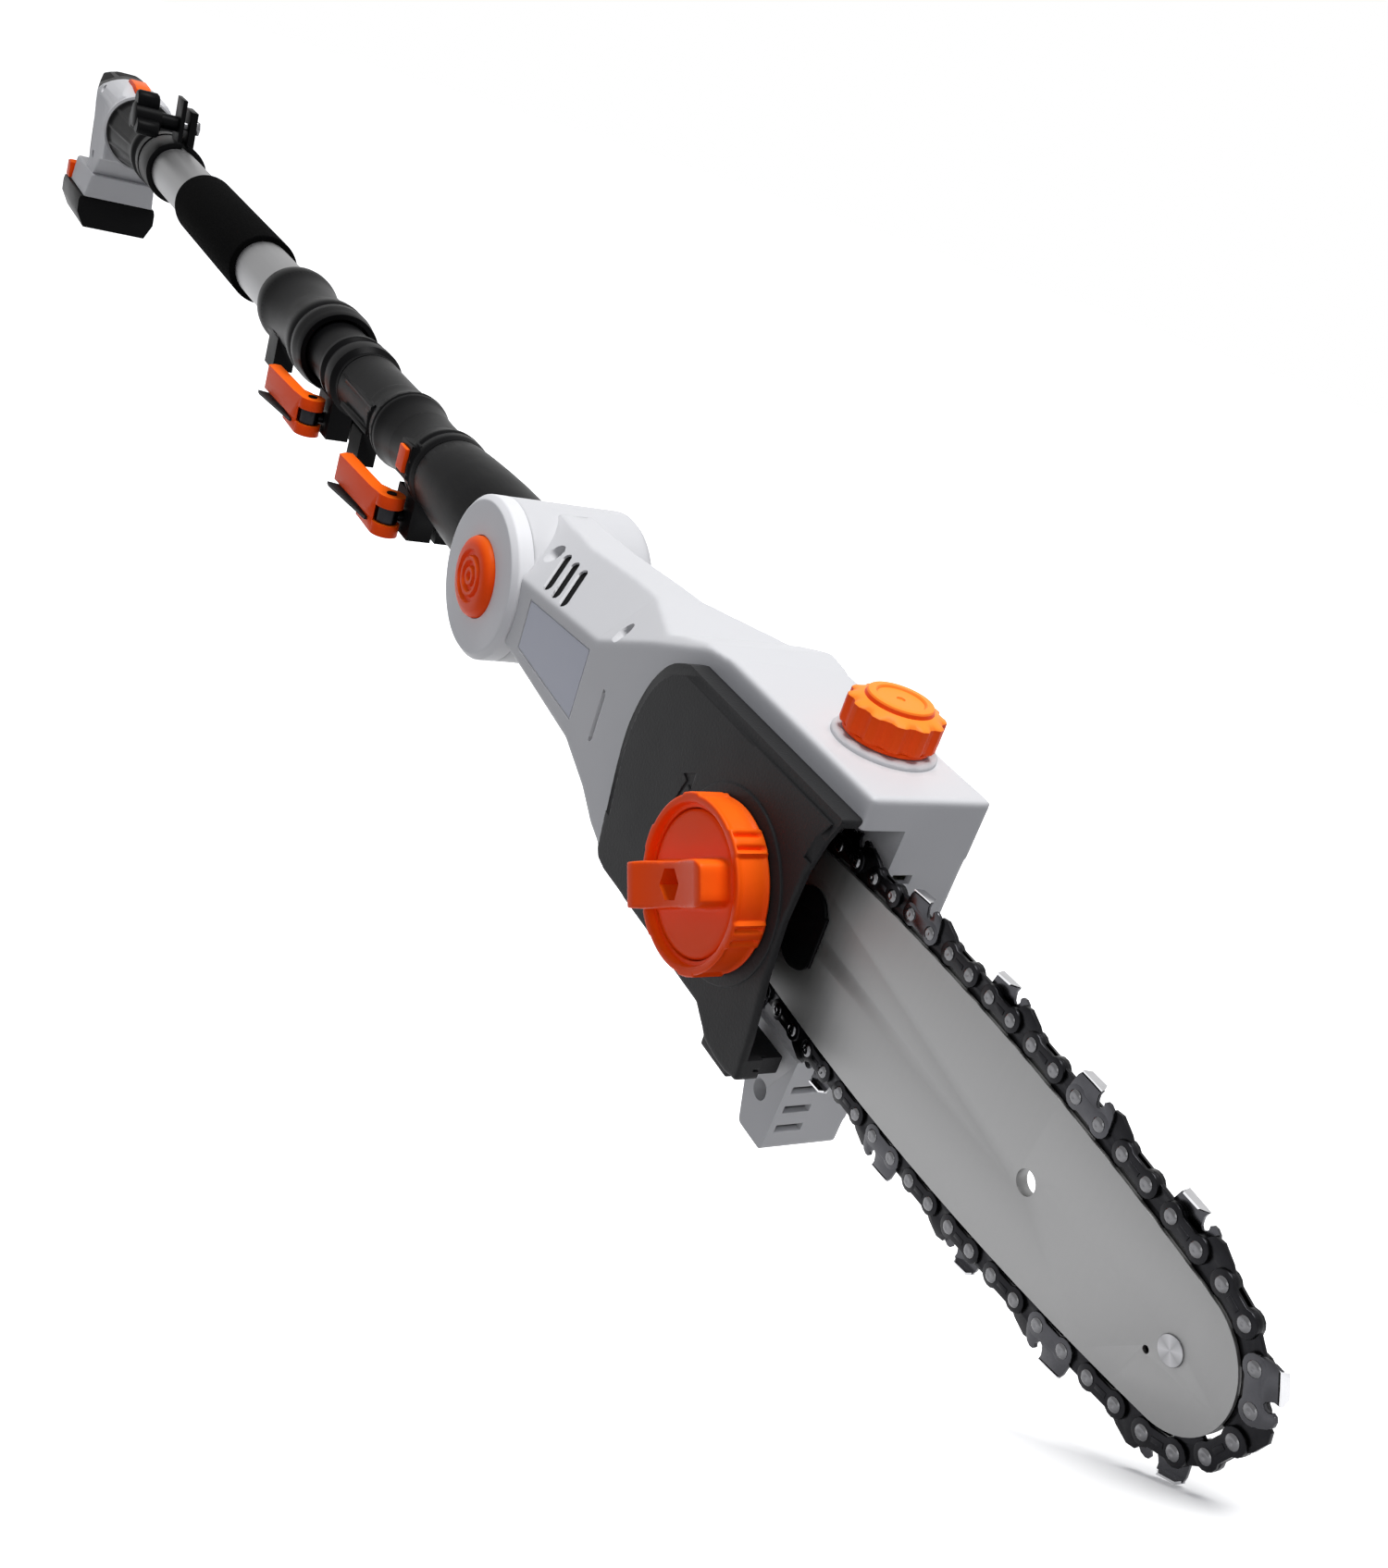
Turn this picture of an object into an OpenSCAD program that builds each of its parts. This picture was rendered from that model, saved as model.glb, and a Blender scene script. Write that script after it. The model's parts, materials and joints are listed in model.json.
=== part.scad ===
// Telescoping cordless pole saw.
// Frame: +X runs along the pole towards the saw's tip, +Z is up, and the origin lies on the
// pole's axis in the bare stretch of the outer tube between the rear handle and the foam grip.
// All lengths are in millimetres.

/* [Pole] */
// Outside diameter of the outer (rear) tube
tube_d = 36; // [35:0.5:37]
// Wall of the outer tube
tube_wall = 1.5; // [1.2:0.1:2]
// Where the outer tube starts, inside the rear handle
tube_rear_x = -200; // [-202:1:-196]
// Where the outer tube ends, inside the front collar
tube_front_x = 350; // [320:1:360]
// Length of the inner tube
inner_len = 625; // [560:5:650]
// Wall of the inner tube
inner_wall = 1.8; // [1.4:0.1:2.2]
// Rear end of the foam grip
foam_x = 41; // [38:1:60]
// Length of the foam grip
foam_len = 186; // [150:2:190]
// Wall of the foam grip
foam_wall = 3.7; // [3:0.1:5]

/* [Clamps and coupling] */
// Length of the collar on the outer tube's front end
collar_len = 131; // [125:1:135]
// Length of the clamp sleeve in front of the collar's mouth
sleeve_len = 67; // [62:1:72]
// Length of the coupling between inner tube and neck
coupler_len = 130; // [125:1:140]
// Wall of the sleeve and the coupling at their waists
sleeve_wall = 1.3; // [1.2:0.1:1.6]
// Depth of the neck's spigot in the coupling
spigot_len = 54; // [45:1:60]
// Depth of the clamp bolts' axis below the pole's axis
bolt_drop = 27.8; // [27:0.1:29]
// Distance of a lever's pin from the pole's axis, sideways
lever_pin_y = 21; // [20.5:0.1:22]
// Length of a lever from its pin to its tip
lever_len = 52; // [46:1:56]
// Radius of a lever's pin
lever_pin_r = 2.5; // [2.2:0.1:2.8]
// Radius of a clamp bolt's shank
clamp_bolt_r = 3; // [2.6:0.1:3.2]

/* [Rear handle] */
// Radius of the pale ring around the bell
bell_r = 28.5; // [28:0.5:30]
// X of the bell's wide end
bell_x = -170; // [-171:0.5:-168]
// Half width of the handle's front column
column_hw = 24; // [22:0.5:25]
// Half width of the rear grip
grip_hw = 13; // [12:0.5:14]
// Wall of the handle's shells
handle_wall = 2.6; // [2.2:0.1:3]
// Length of the battery
battery_len = 76; // [72:1:78]
// Half width of the battery
battery_hw = 31; // [30:0.5:34]
// Height of the battery below the foot
battery_h = 25; // [24:0.5:30]

/* [Head] */
// Distance from the coupling's front face to the head's pivot
neck_reach = 118.3; // [116:0.1:122]
// Radius of the pivot drum
drum_r = 34.4; // [33.5:0.1:35]
// Half width of the pivot drum with its caps
drum_hw = 33; // [32:0.5:34]
// Thickness of a drum cap
cap_t = 9; // [8:0.5:10]
// Distance from the pivot to the head's datum, just behind its front face
datum_reach = 247.7; // [246:0.1:250]
// Half width of the motor barrel
barrel_hw = 29.5; // [29:0.1:30]
// Height of the housing's top above the pole's axis
block_top = 56; // [55.5:0.5:58]
// Distance of the housing's front face in front of the datum
block_front = 22; // [21:0.5:23]
// Far side of the front block
block_far = 15.5; // [15:0.5:18]
// Wall of the head's shells
head_wall = 2.5; // [2.2:0.1:2.8]
// Distance of the sprocket cover's face from the pole's axis
cover_y = 37.5; // [37:0.1:38]

/* [Bar and chain] */
// Distance of the bar's middle plane from the pole's axis
bar_y = 18.5; // [18.3:0.1:18.8]
// Thickness of the guide bar
bar_t = 4; // [3.8:0.1:4.2]
// Distance of the nose sprocket's centre in front of the datum
nose_x = 174; // [170:0.5:178]
// Radius of the rivets' path round the nose
nose_r = 23.2; // [22:0.1:24]
// Radius of the rivets' path along the crowned edges
crown_r = 829; // [780:1:900]
// Rivet spacing of the chain
pitch = 9.525; // [9.5:0.005:9.55]
// Drive links in the chain
drive_links = 33; // [33:1:33]
// Teeth of the drive sprocket
sprocket_teeth = 7; // [6:1:7]
// Gauge of the drive links
gauge = 1.3; // [1.1:0.05:1.4]
// Radius of the hanging hole in the bar
hang_hole_r = 3.5; // [3:0.1:4]
// Distance of the hanging hole in front of the datum
hang_hole_x = 117.9; // [110:0.1:125]

/* [Knob and cap] */
// Distance of the knob's axis behind the datum
knob_back = 19.1; // [18:0.1:20]
// Outside radius of the chain tension ring
knob_r = 28.5; // [28:0.1:29]
// Radius of the locking knob's disc
knob_core_r = 23.3; // [22.5:0.1:24]
// Height of the tension ring
knob_h = 12; // [11:0.1:13]
// Outside radius of the oil filler cap
oil_cap_r = 15.8; // [15:0.1:16.5]
// Height of the oil filler cap's fluted skirt
oil_cap_h = 10.2; // [9:0.1:11]

/* [Drive] */
// Teeth of the motor's pinion
pinion_teeth = 10; // [10:1:10]
// Teeth of the crown gear
gear_teeth = 34; // [34:1:34]
// Module of both gears
gear_module = 1.25; // [1.23:0.01:1.27]
// Radius of the motor's can
motor_r = 22; // [20:0.5:23]

/* [Travels] */
// Depth of a button that is pressed
press = 2.5; // [2:0.1:3]

/* [Fits] */
// Radial clearance of a shaft or tube that runs or slides
run_clear = 0.08; // [0.03:0.01:0.1]
// Gap between a moving piece and what it passes
gap = 0.4; // [0.3:0.05:0.5]

/* [Hidden] */
$fn = 64;

orange = "#f2581a";
light_grey = "#dededc";
charcoal = "#2e2e30";
black = "#161616";
steel = "#a8a8a8";

tube_r = tube_d / 2;
bore_r = tube_r - tube_wall;
inner_r = bore_r - run_clear;
waist_r = bore_r + sleeve_wall;
collar_x = foam_x + foam_len + 25;
mouth_depth = 12;
mouth_x = collar_x + collar_len - mouth_depth;
sleeve_front_x = mouth_x + sleeve_len;
coupler_x = sleeve_front_x + 1;
coupler_front_x = coupler_x + coupler_len;
inner_front_x = coupler_x + 56;
inner_rear_x = inner_front_x - inner_len;
pivot_x = coupler_front_x + neck_reach;
datum_x = pivot_x + datum_reach;
sleeve_pin_x = sleeve_front_x - 24;
coupler_pin_x = coupler_front_x - 18;
detent_x = coupler_front_x - 15;
// Longer than the whole part
vast = 2000;

SQ2 = sqrt(2);

// ---- general shapes ----

// Body of revolution about the X axis; each point is [x, radius].
module lathe(points) {
    rotate([0, 90, 0]) rotate_extrude() polygon([for (p = points) [p[1], p[0]]]);
}

// Ring about the X axis with a straight bore.
module lathe_ring(outer, bore) {
    last = outer[len(outer) - 1];
    lathe(concat(outer, [[last[0], bore], [outer[0][0], bore]]));
}

// Cylinders along X, along Y and along Z between two places.
module rod_x(x0, x1, r) { translate([x0, 0, 0]) rotate([0, 90, 0]) cylinder(r = r, h = x1 - x0); }
module rod_y(y0, y1, r) { translate([0, y1, 0]) rotate([90, 0, 0]) cylinder(r = r, h = y1 - y0); }
module rod_z(z0, z1, r) { translate([0, 0, z0]) cylinder(r = r, h = z1 - z0); }

// A flat shape drawn in X and Z, given a thickness along Y.
module slab_y(y0, y1) {
    translate([0, y1, 0]) rotate([90, 0, 0]) linear_extrude(height = y1 - y0) children();
}

// Box from one corner to the opposite one.
module box(a, b) { translate(a) cube(b - a); }

module ring_y(y0, y1, r_out, r_in) {
    difference() {
        rod_y(y0, y1, r_out);
        rod_y(y0 - 1, y1 + 1, r_in);
    }
}

// ---- pole ----

module outer_tube() {
    color(steel) difference() {
        rod_x(tube_rear_x, tube_front_x, tube_r);
        rod_x(tube_rear_x - 1, tube_front_x + 1, bore_r);
    }
}

module foam_grip() {
    color(black) lathe_ring([
        [foam_x, tube_r + foam_wall - 1], [foam_x + 1.5, tube_r + foam_wall],
        [foam_x + foam_len - 1.5, tube_r + foam_wall],
        [foam_x + foam_len, tube_r + foam_wall - 1]], tube_r + 0.15);
}

module inner_tube() {
    color(black) difference() {
        rod_x(inner_rear_x, inner_front_x, inner_r);
        rod_x(inner_rear_x - 1, inner_front_x + 1, inner_r - inner_wall);
    }
}

collar_outer_r = 24;
collar_ear_h = 31;

module collar_a() {
    x0 = collar_x;
    x1 = collar_x + collar_len;
    color(black) difference() {
        union() {
            lathe([[x0, 0], [x0, 19.6], [x0 + 16, 20.4], [x0 + 34, 23.2], [x0 + 39, collar_outer_r],
                [x0 + 48, collar_outer_r], [x0 + 53, 22.8], [x0 + 73, 21], [x0 + 97, 22.4],
                [x0 + 107, collar_outer_r], [x0 + 121, collar_outer_r], [x1, 22.6], [x1, 0]]);
            // Rest for the tip of the closed lever, with its web
            box([x0 + 58, -18, -collar_ear_h], [x0 + 75, -6, -12]);
        }
        rod_x(x0 - 1, x1 + 1, tube_r);
        rod_x(mouth_x, x1 + 1, tube_r + 1.6);
    }
}

// Ears of a clamp below the pole, bolted together across the slit at the bottom.
ear_face_y = 13.6;
ear_back_y = 9;
slit_hw = 1.2;

module clamp_ears(pin_x) {
    box([pin_x - 12, -ear_face_y, -36], [pin_x + 12, ear_back_y, -waist_r + 3]);
}

module clamp_cuts(pin_x, x0, x1) {
    box([x0, -slit_hw, -40], [x1, slit_hw, 0]);
    translate([pin_x, 0, -bolt_drop]) rod_y(-30, 30, clamp_bolt_r + 0.2);
}

module clamp_sleeve_a() {
    x1 = sleeve_front_x;
    color(black) difference() {
        union() {
            lathe([[tube_front_x, 0], [tube_front_x, tube_r], [mouth_x, tube_r],
                [mouth_x, waist_r], [x1 - 30, waist_r], [x1 - 27, 19.8], [x1 - 24, 20],
                [x1 - 21, waist_r + 0.4], [x1 - 18, waist_r + 0.4], [x1 - 15, 20.3],
                [x1 - 6, 20.3], [x1 - 3, waist_r], [x1, waist_r], [x1, 0]]);
            clamp_ears(sleeve_pin_x);
        }
        rod_x(tube_front_x - 1, x1 + 1, bore_r);
        clamp_cuts(sleeve_pin_x, x1 - 48, x1 + 1);
    }
}

module coupler() {
    x0 = coupler_x;
    x1 = coupler_front_x;
    color(black) difference() {
        union() {
            lathe([[x0, 0], [x0, waist_r], [x0 + 45, waist_r], [x0 + 50, 18.4], [x0 + 60, 20],
                [x0 + 67, 20.6], [x0 + 75, 20], [x0 + 85, 18.2], [x0 + 90, waist_r + 0.1],
                [x0 + 108, waist_r + 0.1], [x0 + 114, 19.6], [x0 + 118, 20.7],
                [x1 - 4, 20.7], [x1, 19.8], [x1, 0]]);
            // Two ribs along the near side
            for (z = [-7, 5.5])
                box([x0 + 13, -waist_r - 1.2, z - 1], [x0 + 56, -12, z + 1]);
            clamp_ears(coupler_pin_x);
            // Rest for the tip of the closed lever
            box([coupler_pin_x - 84, -16, -29], [coupler_pin_x - 68, -6, -12]);
            // Housing round the detent button
            translate([detent_x, 0, 2]) rotate([90, 0, 0])
                linear_extrude(height = 20.4) square([13.5, 16.5], center = true);
        }
        rod_x(x0 - 1, inner_front_x, inner_r);
        rod_x(inner_front_x - 1, x1 + 1, spigot_r);
        clamp_cuts(coupler_pin_x, x1 - 40, x1 + 1);
        translate([detent_x, 0, 2]) rotate([90, 0, 0])
            linear_extrude(height = 30)
                square([detent_l + 2 * gap, detent_w + 2 * gap], center = true);
    }
}

detent_l = 9;
detent_w = 12;
spigot_r = inner_r;

module detent_button() {
    color(orange) translate([detent_x, 0, 2]) rotate([90, 0, 0]) translate([0, 0, 12.2])
        linear_extrude(height = 10) square([detent_l, detent_w], center = true);
}

// Cross bolt of a clamp: an eye round the lever's pin at one end and a nut at the other.
eye_r = 5.4;
eye_h = 7.6;

module clamp_bolt(pin_x) {
    color(steel) difference() {
        union() {
            translate([pin_x, -lever_pin_y, 0])
                rod_z(-bolt_drop - eye_h / 2, -bolt_drop + eye_h / 2, eye_r);
            translate([pin_x, 0, -bolt_drop]) rod_y(-lever_pin_y + 3, 16, clamp_bolt_r);
            translate([pin_x, 0, -bolt_drop]) rotate([-90, 0, 0])
                translate([0, 0, ear_back_y]) cylinder(r = 6, h = 5, $fn = 6);
        }
        translate([pin_x, -lever_pin_y, 0]) rod_z(-60, 0, lever_pin_r);
    }
}

module lever_pin(pin_x) {
    color(steel) translate([pin_x, -lever_pin_y, 0]) {
        rod_z(-38.4, -17, lever_pin_r);
    }
}

// Cam lever, closed: its arm points to the rear and its fork holds the bolt's eye.
lug_r = 7;
arm_t = 9;

module cam_lever(pin_x) {
    color(orange) translate([pin_x, -lever_pin_y, 0]) difference() {
        union() {
            rod_z(-38, -bolt_drop - eye_h / 2 - gap, lug_r);
            rod_z(-bolt_drop + eye_h / 2 + gap, -17.5, lug_r);
            // Arm, a bent bar beside the pole
            translate([0, 0, -38]) linear_extrude(height = 7)
                polygon([[-22, -7], [0, -7], [0, 4], [-8, 4], [-22, 0]]);
            translate([0, 0, -31]) linear_extrude(height = 13.5)
                polygon([[-lever_len, -7.6], [-lever_len + 3, -11.4], [-8, -8.5], [0, -7], [0, 2],
                    [-7.6, 2], [-12, -1.2], [-lever_len, -3.6]]);
        }
        rod_z(-60, 0, lever_pin_r + run_clear);
        // Room for the bolt's eye
        rod_z(-bolt_drop - eye_h / 2 - gap, -bolt_drop + eye_h / 2 + gap, eye_r + 1.2);
        // The bolt passes the fork as the lever swings open
        for (a = [0 : 10 : 120])
            rotate([0, 0, -a]) translate([0, 0, -bolt_drop])
                box([-clamp_bolt_r - 0.6, 0, -clamp_bolt_r - 0.6],
                    [clamp_bolt_r + 0.6, 20, clamp_bolt_r + 0.6]);
    }
}

module lever_pad(pin_x) {
    color(charcoal) translate([pin_x, -lever_pin_y, 0])
        translate([0, 0, -33.2]) linear_extrude(height = 2.2)
            polygon([[-lever_len + 6, -11.4], [-22, -10.4], [-22, -1.8], [-lever_len + 6, -3.4]]);
}

module clamp_bolt_a() { clamp_bolt(sleeve_pin_x); }
module clamp_bolt_b() { clamp_bolt(coupler_pin_x); }
module lever_pin_a() { lever_pin(sleeve_pin_x); }
module lever_pin_b() { lever_pin(coupler_pin_x); }
module cam_lever_a() { cam_lever(sleeve_pin_x); }
module cam_lever_b() { cam_lever(coupler_pin_x); }
module lever_pad_a() { lever_pad(sleeve_pin_x); }
module lever_pad_b() { lever_pad(coupler_pin_x); }

// ---- neck and pivot ----

hub_r = 19;
hub_hw = 20;
pin_r = 6;
tongue_hh = 13;
tongue_hw = 14;

module neck_tube() {
    color(black) difference() {
        union() {
            difference() {
                lathe([[coupler_front_x, 0], [coupler_front_x, 19.6], [coupler_front_x + 13, 20.8],
                    [coupler_front_x + 24, 21.5], [coupler_front_x + 35, 22.1],
                    [coupler_front_x + 54, 22.8], [coupler_front_x + 80, 23],
                    [pivot_x - 20, 23], [pivot_x - 20, 0]]);
                translate([pivot_x, 0, 0]) rod_y(-40, 40, drum_r + 2 * gap);
            }
            rod_x(coupler_front_x - spigot_len, coupler_front_x + 1, spigot_r);
            box([pivot_x - drum_r - 6, -tongue_hw, -tongue_hh], [pivot_x, tongue_hw, tongue_hh]);
            translate([pivot_x, 0, 0]) rod_y(-hub_hw, hub_hw, hub_r);
        }
        // Cable way through the neck
        rod_x(coupler_front_x - spigot_len - 1, pivot_x - drum_r - 14, 13);
        rod_x(pivot_x - drum_r - 15, pivot_x - pin_r - 4, 6);
        // Pocket in the spigot for the detent button
        translate([detent_x, 0, 2]) rotate([90, 0, 0])
            linear_extrude(height = 30)
                square([detent_l + 2 * gap, detent_w + 2 * gap], center = true);
        translate([pivot_x, 0, 0]) rod_y(-40, 40, pin_r + run_clear);
    }
}

module pivot_pin() {
    color(steel) translate([pivot_x, 0, 0]) {
        rod_y(-hub_hw - 4, hub_hw + 6, pin_r);
    }
}

// ---- head ----

module at_datum() { translate([datum_x, 0, 0]) children(); }

barrel_back = -datum_reach + 8;
barrel_len = -100 - barrel_back;

// A place on the barrel, as a part of its length from the drum to the block.
function on_barrel(f) = barrel_back + f * barrel_len;

motor_rear = on_barrel(0.2556);
motor_front = on_barrel(0.914);

// Side outline of the head, drawn in X and Z; w shrinks it all round.
function head_outline(w) = [
    [barrel_back, 34.6 - w], [on_barrel(0.248), 35.2 - w], [on_barrel(0.535), 39.5 - w],
    [on_barrel(0.7), 41 - w], [on_barrel(0.943), 43.5 - w], [on_barrel(0.993), 46.5 - w],
    [-82, 53 - w], [-63, block_top - w], [block_front - w, block_top - w],
    [17.6 - w, -78.5 + w], [3 + w, -78.5 + w], [-2 + w, -64 + w], [-25, -46 + w],
    [on_barrel(0.957), -43 + w], [on_barrel(0.7), -41 + w], [on_barrel(0.535), -39.5 + w],
    [on_barrel(0.248), -35.2 + w], [barrel_back, -34.6 + w]];

// Outline from above: the barrel narrows into the block behind the bar.
function plan_outline(w) = [
    [barrel_back, -barrel_hw + w], [block_front - w, -barrel_hw + w],
    [block_front - w, block_far - w], [-60, block_far - w], [-95, barrel_hw - w],
    [barrel_back, barrel_hw - w]];

upper_ridge = [[barrel_back, 12.5], [on_barrel(0.178), 14.1], [on_barrel(0.659), 21],
    [on_barrel(0.911), 37.9], [-77.4, 52.8], [-63.4, 57], [block_front, 58]];
lower_ridge = [[barrel_back, 12.5], [on_barrel(0.184), 14], [on_barrel(0.642), 20],
    [on_barrel(0.8), 28.8], [on_barrel(0.889), 36.5], [on_barrel(0.951), 39.7], [-95, 52],
    [-40, 90], [block_front, 110]];

// All that lies below a 45-degree flank through a ridge line on the near side.
module under_flank(ridge, w) {
    rotate([-45, 0, 0]) translate([0, 0, -150]) linear_extrude(height = 300)
        polygon(concat([for (p = ridge) [p[0], -(p[1] + barrel_hw) / SQ2 + w]],
            [[block_front, 200], [barrel_back, 200]]));
}

module head_solid(w) {
    intersection() {
        slab_y(-40, 40) polygon(head_outline(w));
        translate([0, 0, -90]) linear_extrude(height = 180) polygon(plan_outline(w));
        under_flank(upper_ridge, w);
        mirror([0, 1, 0]) under_flank(upper_ridge, w);
        mirror([0, 0, 1]) under_flank(lower_ridge, w);
        mirror([0, 0, 1]) mirror([0, 1, 0]) under_flank(lower_ridge, w);
    }
}

// Hollow of the head, behind the chain's recess.
recess_y = 13;
lobe_y = 15;
split_y = 11;

module head_cavity() {
    difference() {
        head_solid(head_wall);
        box([-99, -60, -100], [60, -recess_y + head_wall, 100]);
        // Ribs that hold the motor
        for (x = [motor_rear + 8, motor_front - 18]) box([x, -60, -60], [x + 3, 60, 60]);
        for (p = head_screw_at) translate([p[0], 0, p[1]]) rod_y(-60, 60, head_boss_r);
    }
}

recess = [[-96, 6], [-90, 30], [-76, 44.5], [60, 45.5], [60, -42], [-10, -42], [-30, -39.5],
    [-84, -39], [-91, -33]];

// The head's shell without the drum's hollow, in one piece; the split cuts it in two.
module head_shell() {
    at_datum() difference() {
        union() {
            difference() {
                head_solid(0);
                head_cavity();
            }
            // Seats of the spindle's two bearings
            translate([spindle_x, 0, 0]) rod_y(-recess_y, -4, 14);
            translate([spindle_x, 0, 0]) rod_y(block_far - 4, 19, 13);
            // Filler neck's boss
            translate([cap_x, cap_y, 0]) rod_z(block_top - 1, block_top + 2, 17.1);
            // Seat of the bar's stud
            translate([-knob_back, 0, 0]) rod_y(-recess_y, -4, 9);
        }
        // Seat of the drum's cap
        translate([-datum_reach, 0, 0]) rod_y(-60, -drum_hw + cap_t, drum_r + 0.2);
        slab_y(-60, -recess_y) polygon(recess);
        box([-45, -60, -100], [60, -lobe_y, -41]);
        translate([spindle_x, 0, 0]) rod_y(-11.6, -3, bearing_r);
        translate([spindle_x, 0, 0]) rod_y(-20, 0, bearing_r - 2.5);
        translate([spindle_x, 0, 0]) rod_y(10, 17, bearing_far_r);
        translate([cap_x, cap_y, 0]) rod_z(40, 80, tank_neck_r + gap);
        rod_x(motor_rear - 2, motor_front + 12, motor_r);
        // Cable way from the drum to the motor
        rod_x(-datum_reach, motor_rear + 4, 6);
        translate([-knob_back, 0, 0]) rod_y(-20, -5, stud_r);
        // Cooling slots in both upper and both lower flanks, and in the lobe
        for (m = [0, 1], n = [0, 1]) mirror([0, m, 0]) mirror([0, 0, n])
            for (i = [0 : 2])
                translate([motor_rear + 8.5 * i, -20, 22]) rotate([45, 0, 0]) rotate([0, 0, 35])
                    translate([-1.2, -10, -9]) cube([2.4, 20, 30]);
        for (i = [0 : 2]) box([10, 2.5 - lobe_y, -55 - 8 * i], [40, -2, -52 - 8 * i]);
        box([15, -10.4, 26.5], [40, -3, 29.8]);
        // Slot in the near wall, and the sunk panel beside it
        box([motor_rear + 71.2, -60, -12.7], [motor_rear + 72.8, -barrel_hw + 3.5, 8.8]);
        slab_y(-60, -barrel_hw + 0.5) translate([motor_rear, 0])
            polygon([[0, 10.8], [54, 16.1], [54, -13.6], [0, -10.5]]);
        // Counterbores and holes of the screws
        for (p = near_screw_at) translate([p[0], 0, p[1]]) {
            rod_y(-60, split_y - 14, 3.6);
            rod_y(-60, split_y + 12, 1.6);
        }
        for (p = far_screw_at) translate([p[0], 0, p[1]]) {
            rod_y(split_y + 2, 60, 3.6);
            rod_y(split_y - 12, 60, 1.6);
        }
    }
}

head_boss_r = 4.6;
near_screw_at = [[on_barrel(0.1625), 25.7], [on_barrel(0.735), 29.5], [7, -62]];
far_screw_at = [[motor_front, -31], [-30, 50.5], [14, 50.5]];
head_screw_at = concat(near_screw_at, far_screw_at);

// Space inside the drum in which the neck's hub and tongue swing.
nod_max = 45;
module drum_space() {
    reach = 60;
    hh = tongue_hh + 0.8;
    low_z = -reach * sin(nod_max) - hh * cos(nod_max);
    translate([pivot_x, 0, 0]) {
        rod_y(-hub_hw - gap, hub_hw + gap, hub_r + 1.2);
        slab_y(-tongue_hw - 0.6, tongue_hw + 0.6) polygon([[0, hh], [-reach, hh], [-reach, low_z],
            [-reach * cos(nod_max) + hh * sin(nod_max), low_z],
            [hh * sin(nod_max), -hh * cos(nod_max)]]);
    }
}

module drum() {
    translate([pivot_x, 0, 0]) {
        rod_y(-drum_hw + cap_t, drum_hw - 4, drum_r);
        translate([0, drum_hw - 4, 0]) rotate([-90, 0, 0])
            cylinder(r1 = drum_r, r2 = drum_r - 3, h = 4);
    }
}

module head_body() {
    difference() {
        union() {
            head_shell();
            drum();
        }
        drum_space();
        translate([pivot_x, 0, 0]) rod_y(-40, hub_hw + 6, pin_r);
        // Seat of the button's stem
        translate([pivot_x, 0, 0]) rod_y(-40, -hub_hw - 4, stem_r + gap);
    }
}

module head_housing() {
    color(light_grey) intersection() {
        head_body();
        box([-vast, -vast, -vast], [vast, split_y, vast]);
    }
}

module head_back_cover() {
    color(light_grey) intersection() {
        head_body();
        box([-vast, split_y, -vast], [vast, vast, vast]);
    }
}

stem_r = 9;
button_r = 17;

module pivot_cap() {
    color(light_grey) translate([pivot_x, 0, 0]) difference() {
        union() {
            rod_y(-drum_hw + 2.5, -drum_hw + cap_t, drum_r);
            translate([0, -drum_hw, 0]) rotate([-90, 0, 0])
                cylinder(r1 = drum_r - 2.5, r2 = drum_r, h = 2.5);
        }
        rod_y(-drum_hw - 1, -drum_hw + press + 3.4, button_r + gap);
        rod_y(-60, 0, stem_r + run_clear);
    }
}

module pivot_button() {
    color(orange) translate([pivot_x, 0, 0]) {
        rod_y(-drum_hw - 2.5, -drum_hw + 3, button_r);
        rod_y(-drum_hw - 4, -drum_hw - 2.4, button_r - 1.8);
        rod_y(-drum_hw + 2, -hub_hw - 4 - press - 0.6, stem_r);
    }
}

module head_screws() {
    color(steel) at_datum() {
        for (p = near_screw_at) translate([p[0], 0, p[1]]) {
            rod_y(split_y - 14 - 2.2, split_y - 14, 3.1);
            rod_y(split_y - 14.5, split_y + 2, 1.6);
        }
        for (p = far_screw_at) translate([p[0], 0, p[1]]) {
            rod_y(split_y + 2, split_y + 4.2, 3.1);
            rod_y(split_y - 12, split_y + 2.5, 1.6);
        }
    }
}

// ---- drive ----

// Positions along the chain's loop: nose arc, crowned edge, sprocket arc and back.
sprocket_pitch_r = pitch / (2 * sin(90 / sprocket_teeth));
rivets = 2 * drive_links;

function crown_x(xs) = (nose_x + xs) / 2
    - (sprocket_pitch_r - nose_r) * (2 * crown_r - nose_r - sprocket_pitch_r) / (2 * (nose_x - xs));
function crown_drop(xs) = sqrt(pow(crown_r - nose_r, 2) - pow(nose_x - crown_x(xs), 2));
function nose_angle(xs) = atan2(crown_drop(xs), nose_x - crown_x(xs));
function tail_angle(xs) = atan2(crown_drop(xs), xs - crown_x(xs));
function loop_length(xs) = 2 * PI / 180 * (nose_r * nose_angle(xs)
    + crown_r * (tail_angle(xs) - nose_angle(xs)) + sprocket_pitch_r * (180 - tail_angle(xs)));
function fit_spindle(lo, hi, n) = n == 0 ? (lo + hi) / 2
    : loop_length((lo + hi) / 2) > rivets * pitch * 1.0012 ? fit_spindle((lo + hi) / 2, hi, n - 1)
    : fit_spindle(lo, (lo + hi) / 2, n - 1);
spindle_x = fit_spindle(-100, -40, 24);
crown_cx = crown_x(spindle_x);
crown_cz = crown_drop(spindle_x);
a_nose = nose_angle(spindle_x);
a_tail = tail_angle(spindle_x);

bearing_r = 11;
bearing_far_r = 9.5;
spindle_r = 5;
face_y = 6.9;
gear_mean_r = gear_module * gear_teeth / 2;
pinion_r = gear_module * pinion_teeth / 2;
pinion_x = spindle_x - gear_mean_r;
tooth_h = 1.1;
shaft_r = 2.5;

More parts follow.
